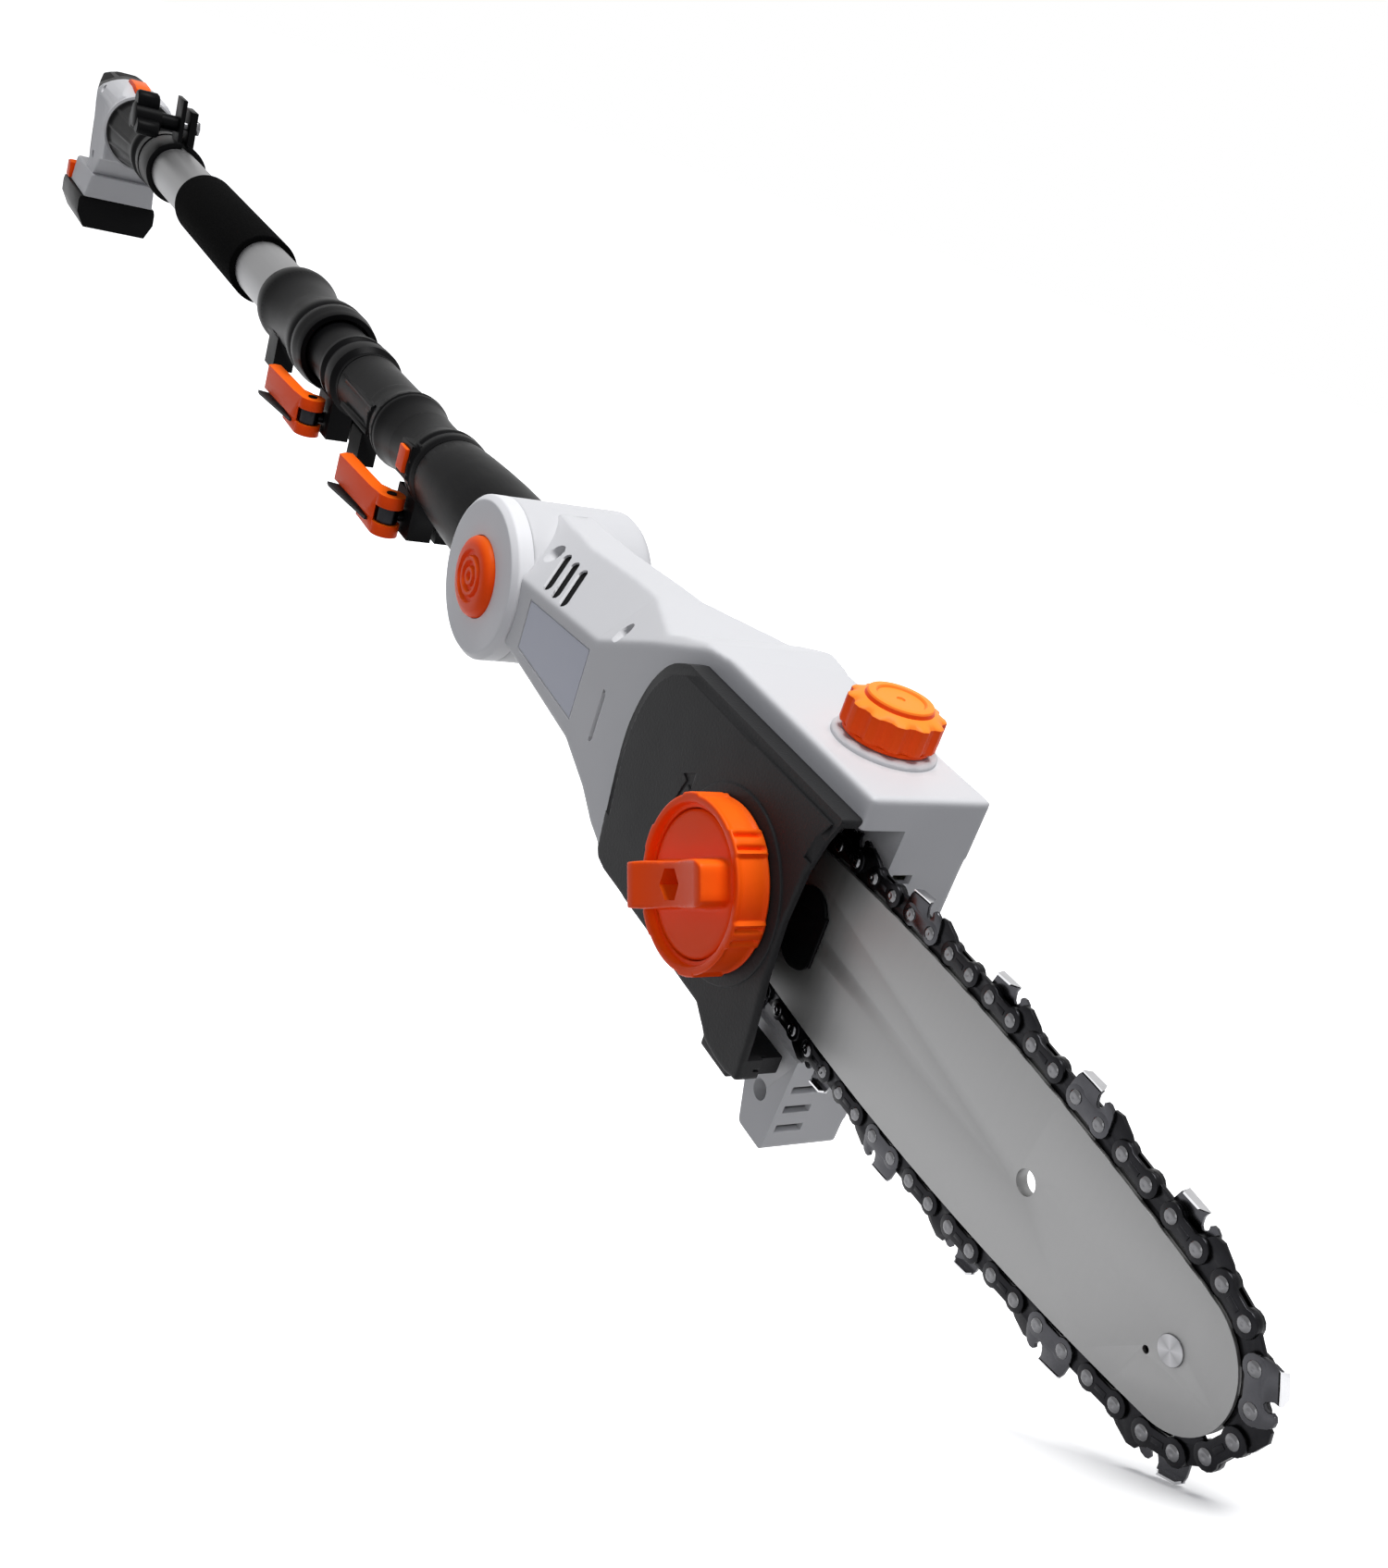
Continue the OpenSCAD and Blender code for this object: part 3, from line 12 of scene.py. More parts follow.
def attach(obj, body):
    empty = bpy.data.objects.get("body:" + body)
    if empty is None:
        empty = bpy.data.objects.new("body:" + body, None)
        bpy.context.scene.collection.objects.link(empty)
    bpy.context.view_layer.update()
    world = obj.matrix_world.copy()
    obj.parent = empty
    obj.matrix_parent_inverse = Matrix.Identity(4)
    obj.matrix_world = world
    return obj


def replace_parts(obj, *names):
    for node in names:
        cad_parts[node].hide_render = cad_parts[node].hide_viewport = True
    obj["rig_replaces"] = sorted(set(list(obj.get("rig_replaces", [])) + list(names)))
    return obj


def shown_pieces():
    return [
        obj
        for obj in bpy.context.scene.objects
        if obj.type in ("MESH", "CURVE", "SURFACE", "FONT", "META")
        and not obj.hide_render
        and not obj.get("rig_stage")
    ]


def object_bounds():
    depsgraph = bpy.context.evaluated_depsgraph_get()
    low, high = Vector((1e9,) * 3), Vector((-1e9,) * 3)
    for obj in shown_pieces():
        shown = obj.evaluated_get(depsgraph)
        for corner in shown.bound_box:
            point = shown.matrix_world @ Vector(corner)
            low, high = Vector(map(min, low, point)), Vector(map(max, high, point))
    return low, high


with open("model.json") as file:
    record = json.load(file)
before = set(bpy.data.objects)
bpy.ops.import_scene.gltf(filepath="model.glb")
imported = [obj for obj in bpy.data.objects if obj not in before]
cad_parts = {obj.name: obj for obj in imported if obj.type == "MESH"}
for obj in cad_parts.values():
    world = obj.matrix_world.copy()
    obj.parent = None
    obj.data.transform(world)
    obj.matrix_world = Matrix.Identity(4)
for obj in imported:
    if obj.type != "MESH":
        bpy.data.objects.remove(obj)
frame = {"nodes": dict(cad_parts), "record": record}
cad_low, cad_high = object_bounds()
nodes = frame["nodes"]
body_of = {n: b for b, members in frame["record"]["behaviour"]["bodies"].items() for n in members}
slot_of = {s["node"]: s["material_slot"] for s in frame["record"]["subparts"]}
MM = 0.001
HEAD_X = 935.0  # the zero of the head's frame, in the whole saw's
PIVOT_X, KNOB_X, NOSE_X = -247.7, -19.1, 174.0
BAR_Y = 18.5


# ---- materials ----

GRAIN_DEEP, STREAK_DEEP, PORE_DEEP = 0.00012, 0.00008, 0.0002
FINE_GRAIN, FINE_DEEP = 1400, 0.0001


def srgb(code):
    """Linear colour of a hex code."""
    parts = [int(code[i:i + 2], 16) / 255 for i in (1, 3, 5)]
    return [c / 12.92 if c <= 0.04045 else ((c + 0.055) / 1.055) ** 2.4 for c in parts] + [1.0]


class Graph:
    """A material's node tree with short ways to add nodes and links."""

    def __init__(self, name):
        self.material = bpy.data.materials.new(name)
        self.material.use_nodes = True
        self.tree = self.material.node_tree
        self.shader = self.tree.nodes["Principled BSDF"]

    def add(self, kind, settings=None, **sockets):
        node = self.tree.nodes.new("ShaderNode" + kind)
        for key, value in (settings or {}).items():
            setattr(node, key, value)
        for key, value in sockets.items():
            self.put(node.inputs[key.replace("_", " ")], value)
        return node

    def put(self, socket, value):
        if isinstance(value, bpy.types.NodeSocket):
            self.tree.links.new(value, socket)
        else:
            socket.default_value = value

    def set(self, **sockets):
        for key, value in sockets.items():
            self.put(self.shader.inputs[key.replace("_", " ")], value)

    def coords(self, scale=(1, 1, 1), shift=(0, 0, 0)):
        where = self.add("TexCoord")
        return self.add("Mapping", Vector=where.outputs["Object"], Scale=scale,
                        Location=shift).outputs["Vector"]

    def noise(self, scale, detail=4.0, rough=0.6, stretch=(1, 1, 1)):
        return self.add("TexNoise", Vector=self.coords(stretch), Scale=scale, Detail=detail,
                        Roughness=rough).outputs["Fac"]

    def ramp(self, value, stops):
        node = self.add("ValToRGB", Fac=value)
        band = node.color_ramp
        while len(band.elements) < len(stops):
            band.elements.new(0.5)
        for element, (place, colour) in zip(band.elements, stops):
            element.position = place
            element.color = colour
        return node.outputs["Color"]

    def spread(self, value, low, high):
        return self.add("MapRange", Value=value, To_Min=low, To_Max=high).outputs["Result"]

    def worn(self, mask, colour, wear):
        """Colour a little darker and lighter by a mask."""
        return self.ramp(mask, [(0.3, shade(colour, 1 - wear)), (0.7, shade(colour, 1 + wear))])

    def uneven(self, low, high):
        """Roughness that drifts between two values."""
        return self.spread(self.noise(60, 3), low, high)

    def bump(self, height, strength, distance):
        node = self.add("Bump", Height=height, Strength=strength, Distance=distance)
        return node.outputs["Normal"]


def shade(colour, factor):
    """Colour made darker or lighter."""
    return [min(1.0, c * factor) for c in colour[:3]] + [1.0]


def plastic(name, code, rough=0.42, grain=0.25, grain_size=0.9, wear=0.06, gloss=0.5, coat=0.0,
            bend=1.5):
    """Moulded plastic: spark grain, faint cloudy colour and uneven gloss."""
    g = Graph(name)
    colour = srgb(code)
    cloud = g.noise(14, 3)
    g.set(Base_Color=g.worn(cloud, colour, wear),
          Roughness=g.uneven(rough - 0.05, rough + 0.06),
          Normal=g.bump(g.noise(1 / (grain_size * MM), 2, 0.5), grain, GRAIN_DEEP),
          Specular_IOR_Level=gloss, Coat_Weight=coat, Coat_Roughness=0.25, IOR=bend)
    return g.material


def metal(name, code, rough=0.3, streak=(1, 1, 1), streak_scale=300, depth=0.15, wear=0.08):
    """Bare or plated metal with fine streaks along its grinding or drawing direction."""
    g = Graph(name)
    colour = srgb(code)
    lines = g.noise(streak_scale, 5, 0.65, streak)
    g.set(Base_Color=g.worn(lines, colour, wear),
          Roughness=g.spread(lines, rough - 0.06, rough + 0.08),
          Normal=g.bump(lines, depth, STREAK_DEEP), Metallic=1.0)
    return g.material


def foam(name, code):
    """Closed-cell foam: matt, with small pores, each painted darker towards its middle as shade in
    the pore.
    """
    g = Graph(name)
    colour = srgb(code)
    cells = g.add("TexVoronoi", Vector=g.coords(), Scale=900.0).outputs["Distance"]
    # Darker at the middle of each cell: painted shade in the pores
    g.set(Base_Color=g.ramp(cells, [(0.1, shade(colour, 0.6)), (0.7, shade(colour, 1.25))]),
          Roughness=0.95, Normal=g.bump(cells, 0.5, PORE_DEEP), Specular_IOR_Level=0.1, IOR=1.15)
    return g.material


def spun(name, code, centre):
    """Metal faced on a lathe, with bright and dark rays painted into its colour: painted highlights
    and darker reflections of such a face.
    """
    g = Graph(name)
    colour = srgb(code)
    turned_to = g.add("Mapping", Vector=g.coords(shift=[-c for c in centre]),
                      Rotation=(math.pi / 2, 0, 0.6)).outputs["Vector"]
    angle = g.add("TexGradient", {"gradient_type": "RADIAL"}, Vector=turned_to).outputs["Fac"]
    # Painted highlights: lighter and darker sectors stand in for the turned face's reflection
    rays = [(i / 8, shade(colour, 0.8 if i % 2 else 1.15)) for i in range(9)]
    g.set(Base_Color=g.ramp(angle, rays), Roughness=0.3, Metallic=1.0)
    return g.material


def plastic_with_painted_top_light(name, code, painted_top_light_code, rough, gloss):
    """Moulded plastic of one colour that turns to a lighter, yellower one where it faces up:
    painted light, standing in for the lamp overhead.
    """
    g = Graph(name)
    # How far a face points up; it carries the painted light
    facing_up_for_painted_light = g.add("SeparateXYZ", Vector=g.add("NewGeometry").outputs["Normal"]).outputs["Z"]
    g.set(Base_Color=g.ramp(facing_up_for_painted_light, [(0.25, srgb(code)), (0.95, srgb(painted_top_light_code))]),
          Roughness=g.uneven(rough - 0.05, rough + 0.06),
          Normal=g.bump(g.noise(FINE_GRAIN, 2, 0.5), 0.1, FINE_DEEP), Specular_IOR_Level=gloss)
    return g.material


def two_tone(name, code, rear_code):
    """The handle's pale shell, with the dark skin over its hump taken on round the sides."""
    g = Graph(name)
    rise = g.add("VectorMath", {"operation": "DOT_PRODUCT"},
                 Vector=g.coords(shift=(0.217, 0, -0.033)))
    rise.inputs[1].default_value = (-19, 0, 28)
    grain = g.bump(g.noise(FINE_GRAIN, 2, 0.5), 0.12, GRAIN_DEEP)
    g.set(Base_Color=g.ramp(rise.outputs["Value"], [(0.0, srgb(code)), (0.012, srgb(rear_code))]),
          Roughness=g.uneven(0.42, 0.54), Normal=grain, Specular_IOR_Level=0.2)
    return g.material


finishes = {
    # orange_plastic and cap_orange carry painted light: lighter and yellower on faces that point up
    "orange_plastic": plastic_with_painted_top_light("orange_plastic", "#FF4E08", "#FF6812", 0.4, 0.1),
    "housing_plastic": plastic("housing_plastic", "#CCCCCE", 0.46, 0.12, 0.7, 0.012, 0.22),
    "black_plastic": plastic("black_plastic", "#0B0B0C", 0.36, 0.15, 1.0, 0.12, 0.25, 0, 1.17),
    "charcoal_plastic": plastic("charcoal_plastic", "#262627", 0.5, 0.8, 1.1, 0.1, 0.3, 0, 1.25),
    "grip_rubber": plastic("grip_rubber", "#0B0B0B", 0.6, 0.4, 1.2, 0.12, 0.3, 0, 1.2),
    "foam": foam("foam", "#0A0A0A"),
    "tube_aluminium": metal("tube_aluminium", "#8C8C8D", 0.46, (0.02, 1, 1), 500, 0.12, 0.04),
    "tube_black": plastic("tube_black", "#121214", 0.3, 0.1, 0.6, 0.1, 0.15),
    "steel": metal("steel", "#646466", 0.2, (1, 1, 1), 220, 0.05),
    "bar_steel": metal("bar_steel", "#868686", 0.5, (1, 1, 0.02), 500, 0.03, 0.03),
    "chain_steel": metal("chain_steel", "#202022", 0.3, (1, 1, 1), 160, 0.1, 0.2),
    # The cutters' side plates and top plates are one chrome in a shaded and a lit copy: painted
    # shade on the sides, painted light on the tops
    "cutter_chrome": metal("cutter_chrome", "#414144", 0.22, (1, 1, 1), 200, 0.05, 0.12),
    "cutter_top_painted_light": metal("cutter_top_painted_light", "#C4C4C6", 0.16, (1, 1, 1), 200, 0.04, 0.05),
    "cell_sleeve": plastic("cell_sleeve", "#2F62A8", 0.25, 0.02, 1.0, 0.05, 0.5, 0.4),
    "cap_white": plastic("cap_white", "#E2E2E4", 0.46, 0.12, 0.7, 0.012, 0.22),
    "label_grey": plastic("label_grey", "#B4B7C4", 0.35, 0.05, 0.5, 0.02, 0.3),
    "cap_orange": plastic_with_painted_top_light("cap_orange", "#FF5210", "#FF9430", 0.4, 0.1),
    "shell_two_tone": two_tone("shell_two_tone", "#CCCCCE", "#0B0B0B"),
    "tank_plastic": plastic("tank_plastic", "#CFCDB8", 0.35, 0.1, 1.0, 0.03),
}


# ---- building pieces ----

def link(name, mesh):
    """Object with a mesh, put in the scene."""
    obj = bpy.data.objects.new(name, mesh)
    bpy.context.scene.collection.objects.link(obj)
    return obj


def built(name, corners, faces, origin=HEAD_X):
    """Object from corners in mm."""
    mesh = bpy.data.meshes.new(name)
    mesh.from_pydata([((x + origin) * MM, y * MM, z * MM) for x, y, z in corners], [], faces)
    bm = bmesh.new()
    bm.from_mesh(mesh)
    bmesh.ops.recalc_face_normals(bm, faces=bm.faces)
    bm.to_mesh(mesh)
    bm.free()
    return link(name, mesh)


# Where two numbers across an axis and one along it stand
PLACE = {"X": lambda u, v, t: (t, u, v),
         "Y": lambda u, v, t: (u, t, v),
         "Z": lambda u, v, t: (u, v, t)}


def prism(outline, axis, low, high, origin=HEAD_X, turn=None):
    """Flat outline drawn across an axis and swept along it."""
    n = len(outline)
    place = PLACE[axis]
    corners = [place(u, v, t) for t in (low, high) for u, v in outline]
    if turn is not None:
        corners = [tuple(turn @ Vector(c)) for c in corners]
    faces = [list(range(n)), list(range(n, 2 * n))]
    faces += [[i, (i + 1) % n, n + (i + 1) % n, n + i] for i in range(n)]
    return built("tool", corners, faces, origin)


def circle(radius, centre=(0, 0), corners=96):
    """Outline of a circle."""
    return [(centre[0] + radius * math.cos(2 * math.pi * i / corners),
             centre[1] + radius * math.sin(2 * math.pi * i / corners)) for i in range(corners)]


def box(low, high, origin=HEAD_X):
    """Box between its low and its high corner."""
    (x0, y0, z0), (x1, y1, z1) = low, high
    return prism([(x0, z0), (x1, z0), (x1, z1), (x0, z1)], "Y", y0, y1, origin)


def turned(profile, axis, centre, corners=128, origin=HEAD_X, wave=None):
    """Body of revolution; profile is (along, radius) from the axis or in a closed loop.
    wave(angle, radius, along) changes a radius."""
    place = PLACE[axis]
    closed = profile[0][1] > 0
    corner_list, faces = [], []
    for t, r in profile:
        for i in range(corners):
            a = 2 * math.pi * i / corners
            reach = wave(a, r, t) if wave else r
            corner_list.append(place(centre[0] + reach * math.cos(a),
                                     centre[1] + reach * math.sin(a), t))
    rows = len(profile)
    for j in range(rows if closed else rows - 1):
        k = (j + 1) % rows
        for i in range(corners):
            i2 = (i + 1) % corners
            faces.append([j * corners + i, j * corners + i2, k * corners + i2, k * corners + i])
    obj = built("tool", corner_list, faces, origin)
    bm = bmesh.new()
    bm.from_mesh(obj.data)
    bmesh.ops.remove_doubles(bm, verts=bm.verts, dist=1e-7)
    bmesh.ops.recalc_face_normals(bm, faces=bm.faces)
    bm.to_mesh(obj.data)
    bm.free()
    return obj


def rounded(profile, radii, steps=5):
    """Profile with its corners rounded; radii has one radius for each point."""
    out = []
    n = len(profile)
    for i, (point, r) in enumerate(zip(profile, radii)):
        p = Vector(point)
        if r <= 0 or i in (0, n - 1):
            out.append(tuple(p))
            continue
        a = Vector(profile[i - 1]) - p
        b = Vector(profile[i + 1]) - p
        half = a.angle(b) / 2
        cut = min(r / math.tan(half), a.length * 0.49, b.length * 0.49)
        start, end = p + a.normalized() * cut, p + b.normalized() * cut
        for s in range(steps + 1):
            f = s / steps
            out.append(tuple(start * (1 - f) ** 2 + p * 2 * f * (1 - f) + end * f ** 2))
    return out


def bake(piece):
    """Applies the piece's modifiers."""
    bpy.context.view_layer.update()
    shape = bpy.data.meshes.new_from_object(
        piece.evaluated_get(bpy.context.evaluated_depsgraph_get()))
    piece.modifiers.clear()
    piece.data = shape


def carve(piece, tool, operation="DIFFERENCE"):
    """Cuts, joins or intersects a piece with a tool, and removes the tool."""
    step = piece.modifiers.new("carve", "BOOLEAN")
    step.operation = operation
    step.solver = "EXACT"
    step.object = tool
    bake(piece)
    bpy.data.objects.remove(tool)
    return piece


def joined(*parts):
    """One object with the meshes of all the parts."""
    bm = bmesh.new()
    for part in parts:
        bm.from_mesh(part.data)
        if part is not parts[0]:
            bpy.data.objects.remove(part)
    bm.to_mesh(parts[0].data)
    bm.free()
    return parts[0]


def melted(piece, grain, passes):
    """The piece as one skin of even facets with its edges worn round."""
    skin = piece.modifiers.new("skin", "REMESH")
    skin.mode = "VOXEL"
    skin.voxel_size = grain * MM
    wear = piece.modifiers.new("wear", "SMOOTH")
    wear.factor = 0.5
    wear.iterations = passes
    bake(piece)
    return piece


def shade_smooth(piece, angle):
    """Smooth shading, but for the edges that are sharper than an angle in degrees."""
    piece.data.shade_smooth()
    piece.data.set_sharp_from_angle(angle=math.radians(angle))


def dress(obj, slot):
    """Gives an object one of the finishes and no other."""
    obj.data.materials.clear()
    obj.data.materials.append(finishes[slot])


def finish(piece, name, *replaced, slot=None, body=None, angle=35):
    """Names a piece, dresses it, and lets it stand for its CAD nodes on their body."""
    piece.name = name
    piece.data.name = name
    shade_smooth(piece, angle)
    dress(piece, slot or slot_of[replaced[0]])
    if replaced:
        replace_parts(piece, *replaced)
    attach(piece, body or body_of[replaced[0]])
    return piece


def copy_of(node):
    """A clean copy of a CAD node's mesh."""
    mesh = nodes[node].data.copy()
    piece = link(node + "_skin", mesh)
    bm = bmesh.new()
    bm.from_mesh(mesh)
    bmesh.ops.remove_doubles(bm, verts=bm.verts, dist=2e-6)
    bmesh.ops.dissolve_limit(bm, angle_limit=math.radians(0.6), verts=bm.verts, edges=bm.edges)
    bm.to_mesh(mesh)
    bm.free()
    return piece


def soften(node, width=0.6, segments=3, angle=28):
    """A copy of a CAD node with its edges rounded, which stands for the node."""
    piece = copy_of(node)
    bevel = piece.modifiers.new("bevel", "BEVEL")
    bevel.width = width * MM
    bevel.segments = segments
    bevel.limit_method = "ANGLE"
    bevel.angle_limit = math.radians(angle)
    bevel.use_clamp_overlap = True
    bevel.miter_outer = "MITER_ARC"
    bake(piece)
    return finish(piece, node + "_skin", node)


def within(node, form, cuts=None):
    """A copy of a CAD node, less the cuts, trimmed to a rounder form, which is kept."""
    piece = copy_of(node)
    if cuts is not None:
        carve(piece, cuts)
    carve(piece, link("tool", form.data.copy()), "INTERSECT")
    return finish(piece, node + "_skin", node, angle=32)


# ---- head ----

BLOCK_FRONT, BLOCK_TOP, BLOCK_FAR, BLOCK_FOOT = 22.0, 56.0, 15.5, -78.5
BARREL_BACK, BARREL_LEN, BARREL_HW = -239.7, 139.7, 29.5
DRUM_R, DRUM_HW, DRUM_CAP = 34.4, 33.0, 9
CAP_X, CAP_Y, BOSS_R = -11.6, -3.4, 17
RIDGE_REAR, RIDGE_FRONT = (0.178, 14.1), (0.659, 21)  # part of the barrel, height of the ridge
SLOT_R, SLOT_HALF, SLOT_STEP, SLOT_LEAN, SLOT_RISE = 2.2, 7.9, 8.5, math.radians(35), 1.41
SKIN = 0.08  # how far the visible skin lies inside the CAD's


def on_barrel(part):
    """Place at a part of the barrel's length."""
    return BARREL_BACK + part * BARREL_LEN


PANEL_X, WALL_SLOT_X = on_barrel(0.2556), on_barrel(0.914)


def eased(points, passes=2, keep=()):
    """Outline with its corners cut again and again, so that it runs smooth; kept corners stay."""
    for _ in range(passes):
        out = []
        n = len(points)
        for i, p in enumerate(points):
            a, q = points[i - 1], points[(i + 1) % n]
            if p in keep:
                out.append(p)
            else:
                out.append((0.25 * a[0] + 0.75 * p[0], 0.25 * a[1] + 0.75 * p[1]))
                out.append((0.75 * p[0] + 0.25 * q[0], 0.75 * p[1] + 0.25 * q[1]))
        points = out
    return points


def about_flank(up, near, degrees):
    """Turn about the head's axis, mirrored down or to the far side where up or near is -1."""
    return (Matrix.Scale(up, 3, (0, 0, 1)) @ Matrix.Scale(near, 3, (0, 1, 0))
            @ Matrix.Rotation(math.radians(degrees), 3, "X"))


def flank(ridge, up, near):
    """All that lies under a 45-degree flank along a ridge line."""
    root = math.sqrt(2)
    outline = [(x, -(r + BARREL_HW) / root + SKIN) for x, r in ridge]
    outline += [(BLOCK_FRONT + 5, 200), (BARREL_BACK - 5, 200)]
    return prism(outline, "Z", -150, 150, turn=about_flank(up, near, -45))


def head_form():
    """The head's outer skin with its moulded roundings: barrel, motor block, lobe and drum."""
    s = SKIN
    back = BARREL_BACK - 6
    outline = [(back, 34.6 - s), (on_barrel(0.248), 35.2 - s), (on_barrel(0.535), 39.5 - s),
               (on_barrel(0.7), 41 - s), (on_barrel(0.943), 43.5 - s), (on_barrel(0.993), 46.5 - s),
               (-82, 53 - s), (-63, BLOCK_TOP - s), (BLOCK_FRONT - s, BLOCK_TOP - s),
               (17.6 - s, BLOCK_FOOT + s), (3 + s, BLOCK_FOOT + s), (-2 + s, -64 + s),
               (-25, -46 + s), (on_barrel(0.957), -43 + s), (on_barrel(0.7), -41 + s),
               (on_barrel(0.535), -39.5 + s), (on_barrel(0.248), -35.2 + s), (back, -34.6 + s)]
    form = prism(outline, "Y", -40, 40)
    plan = [(back, -BARREL_HW + s), (BLOCK_FRONT - s, -BARREL_HW + s),
            (BLOCK_FRONT - s, BLOCK_FAR - s), (-60, BLOCK_FAR - s), (-95, BARREL_HW - s),
            (back, BARREL_HW - s)]
    carve(form, prism(plan, "Z", -90, 90), "INTERSECT")
    ridge_start, ridge_end = [(on_barrel(part), height)
                              for part, height in (RIDGE_REAR, RIDGE_FRONT)]
    upper = [(back, 12.5), ridge_start, ridge_end, (on_barrel(0.911), 37.9),
             (-77.4, 52.8), (-63.4, 57), (BLOCK_FRONT + 5, 58)]
    lower = [(back, 12.5), (on_barrel(0.184), 14), (on_barrel(0.642), 20), (on_barrel(0.8), 28.8),
             (on_barrel(0.889), 36.5), (on_barrel(0.951), 39.7), (-95, 52), (-40, 90),
             (BLOCK_FRONT + 5, 110)]
    for ridge, up in ((upper, 1), (lower, -1)):
        for near in (1, -1):
            carve(form, flank(ridge, up, near), "INTERSECT")
    boss = turned(rounded([(50, 0), (50, BOSS_R), (BLOCK_TOP + 2 - s, BOSS_R),
                           (BLOCK_TOP + 2 - s, 0)], [0, 0, 0.8, 0]), "Z", (CAP_X, CAP_Y))
    rear = -DRUM_HW + DRUM_CAP + s
    drum = turned(rounded([(rear, 0), (rear, DRUM_R - s), (DRUM_HW - s, DRUM_R - s),
                           (DRUM_HW - s, 0)], [0, 0, 5, 0], 8), "Y", (PIVOT_X, 0))
    return joined(form, boss, drum)


def flank_in(x):
    """Distance from the head's axis to its upper flanks, between the drum and the motor."""
    part = (x - BARREL_BACK) / BARREL_LEN
    (start, low), (end, high) = RIDGE_REAR, RIDGE_FRONT
    return (low + (high - low) * (part - start) / (end - start) + BARREL_HW) / math.sqrt(2)


def slot_tools():
    """Wide round-ended slots over the narrow ones of the flanks, and one over the near wall's."""
    low, mid, high = WALL_SLOT_X - 20.8, WALL_SLOT_X - 19.6, WALL_SLOT_X - 18.4
    tools = [prism([(low, -11), (mid, -12.2), (high, -11), (high, 7), (mid, 8.2), (low, 7)],
                   "Y", -BARREL_HW - 3, -BARREL_HW + 2.5)]
    ends = [(SLOT_R * math.cos(math.radians(a)), SLOT_HALF + SLOT_R * math.sin(math.radians(a)))
            for a in range(0, 181, 20)]
    slot = ends + [(-u, -v) for u, v in ends]
    c, s = math.cos(SLOT_LEAN), math.sin(SLOT_LEAN)
    for up in (1, -1):
        for near in (1, -1):
            for i in range(3):
                shape = [(PANEL_X + SLOT_STEP * i + u * c - v * s, SLOT_RISE + u * s + v * c)
                         for u, v in slot]
                tools.append(prism(shape, "Z", 20, 50, turn=about_flank(up, near, 45)))
    return joined(*tools)


def painted_slot_shade_sheets():
    """Dark sheets behind the cooling slots and the slot in the near wall, which paint the shade
    inside the slots.
    """
    rear, end = PANEL_X - 10, PANEL_X + 28
    low, high = flank_in(rear) - 1.1, flank_in(end) - 1.1
    section = [(rear, low), (end, high), (end, high - 0.5), (rear, low - 0.5)]
    sheets = [prism(section, "Y", -7.5, 11, turn=about_flank(up, near, 45))
              for up in (1, -1) for near in (1, -1)]
    sheets.append(box((WALL_SLOT_X - 21.5, -BARREL_HW + 2.6, -13.5),
                      (WALL_SLOT_X - 17.5, -BARREL_HW + 3.2, 9.5)))
    finish(joined(*sheets), "painted_slot_shade_sheets", slot="black_plastic", body="head")


def label():
    """Blank plate in the sunk panel of the near wall."""
    rear, end = PANEL_X + 0.6, PANEL_X + 53.4
    outline = [(rear, 10.2), (end, 15.4), (end, -12.9), (rear, -9.9)]
    plate = prism(outline, "Y", -BARREL_HW + 0.22, -BARREL_HW + 0.6)
    finish(plate, "label_plate", slot="housing_plastic", body="head")
    dress(plate, "label_grey")


def head():
    """Both housing shells cut from one rounded form, with their slots, the dark sheets of painted
    shade behind them, and label plate.
    """
    form = melted(head_form(), 0.85, 14)
    for node in ("head_housing", "head_back_cover"):
        within(node, form, slot_tools())
    bpy.data.objects.remove(form)
    # Dark sheets behind the slots: painted shade
    painted_slot_shade_sheets()
    label()


head()


# ---- front pieces of the head ----

COVER_Y = 37.5
RING_BACK, RING_LEN, RING_R, RING_STEP = 38.5, 12.0, 28.5, 60
GROOVE_AT, GROOVE_WIDE, GROOVE_DEEP = 4.6, 1.7, 1.5
FLAT_FROM, FLAT_EASE, FLAT_DEEP = 8.0, 2.2, 1.35
CORE_R, GRIP_TILT, GRIP_OUT, HEX_R, DISH_R, DISH_OUT = 23.3, 34.3, 59.6, 5.6, 60, 57.2
FILLER_R, FLUTE_STEP, FLUTE_DEEP, FLUTE_EDGE, FLUTE_SLOPE = 15.75, 30, 1.3, 10.5, 7
BUTTON_R, BUTTON_BORE, STEM_R, STEM_BORE, BORE_DEEP = 17, 17.4, 9, 9.1, 5.9


def cover_outline(w):
    """The sprocket cover's outline, drawn in by w."""
    return [(-74.7 + 0.3 * w, 48.1 - w), (-85 + 0.7 * w, 44 - w), (-93 + 0.9 * w, 34 - 0.4 * w),
            (-97.5 + w, 22), (-99.9 + w, 6.1), (-93.4 + w, -34.1 + 0.5 * w), (-91 + w, -36.8 + w),
            (-86 + w, -38 + w), (-51, -39 + w), (-11.6, -40.2 + w), (-1.5, -46.7 + w),
            (6.3, -47.8 + w), (13.1, -47.8 + w), (19.7 - w, -46.7 + w), (18.4 - w, -31),
            (14.8 - w, -9.5), (13.4 - w, 8), (14.6 - w, 26.5), (17.6 - w, 38.5),
            (21.6 - w, 48.5 - w)]


def smooth_cover(w):
    """The cover's outline with its upper rear corner drawn as one arc."""
    points = cover_outline(w)
    corner = eased(points[:6], 3, (points[0], points[5]))
    return corner + points[6:]


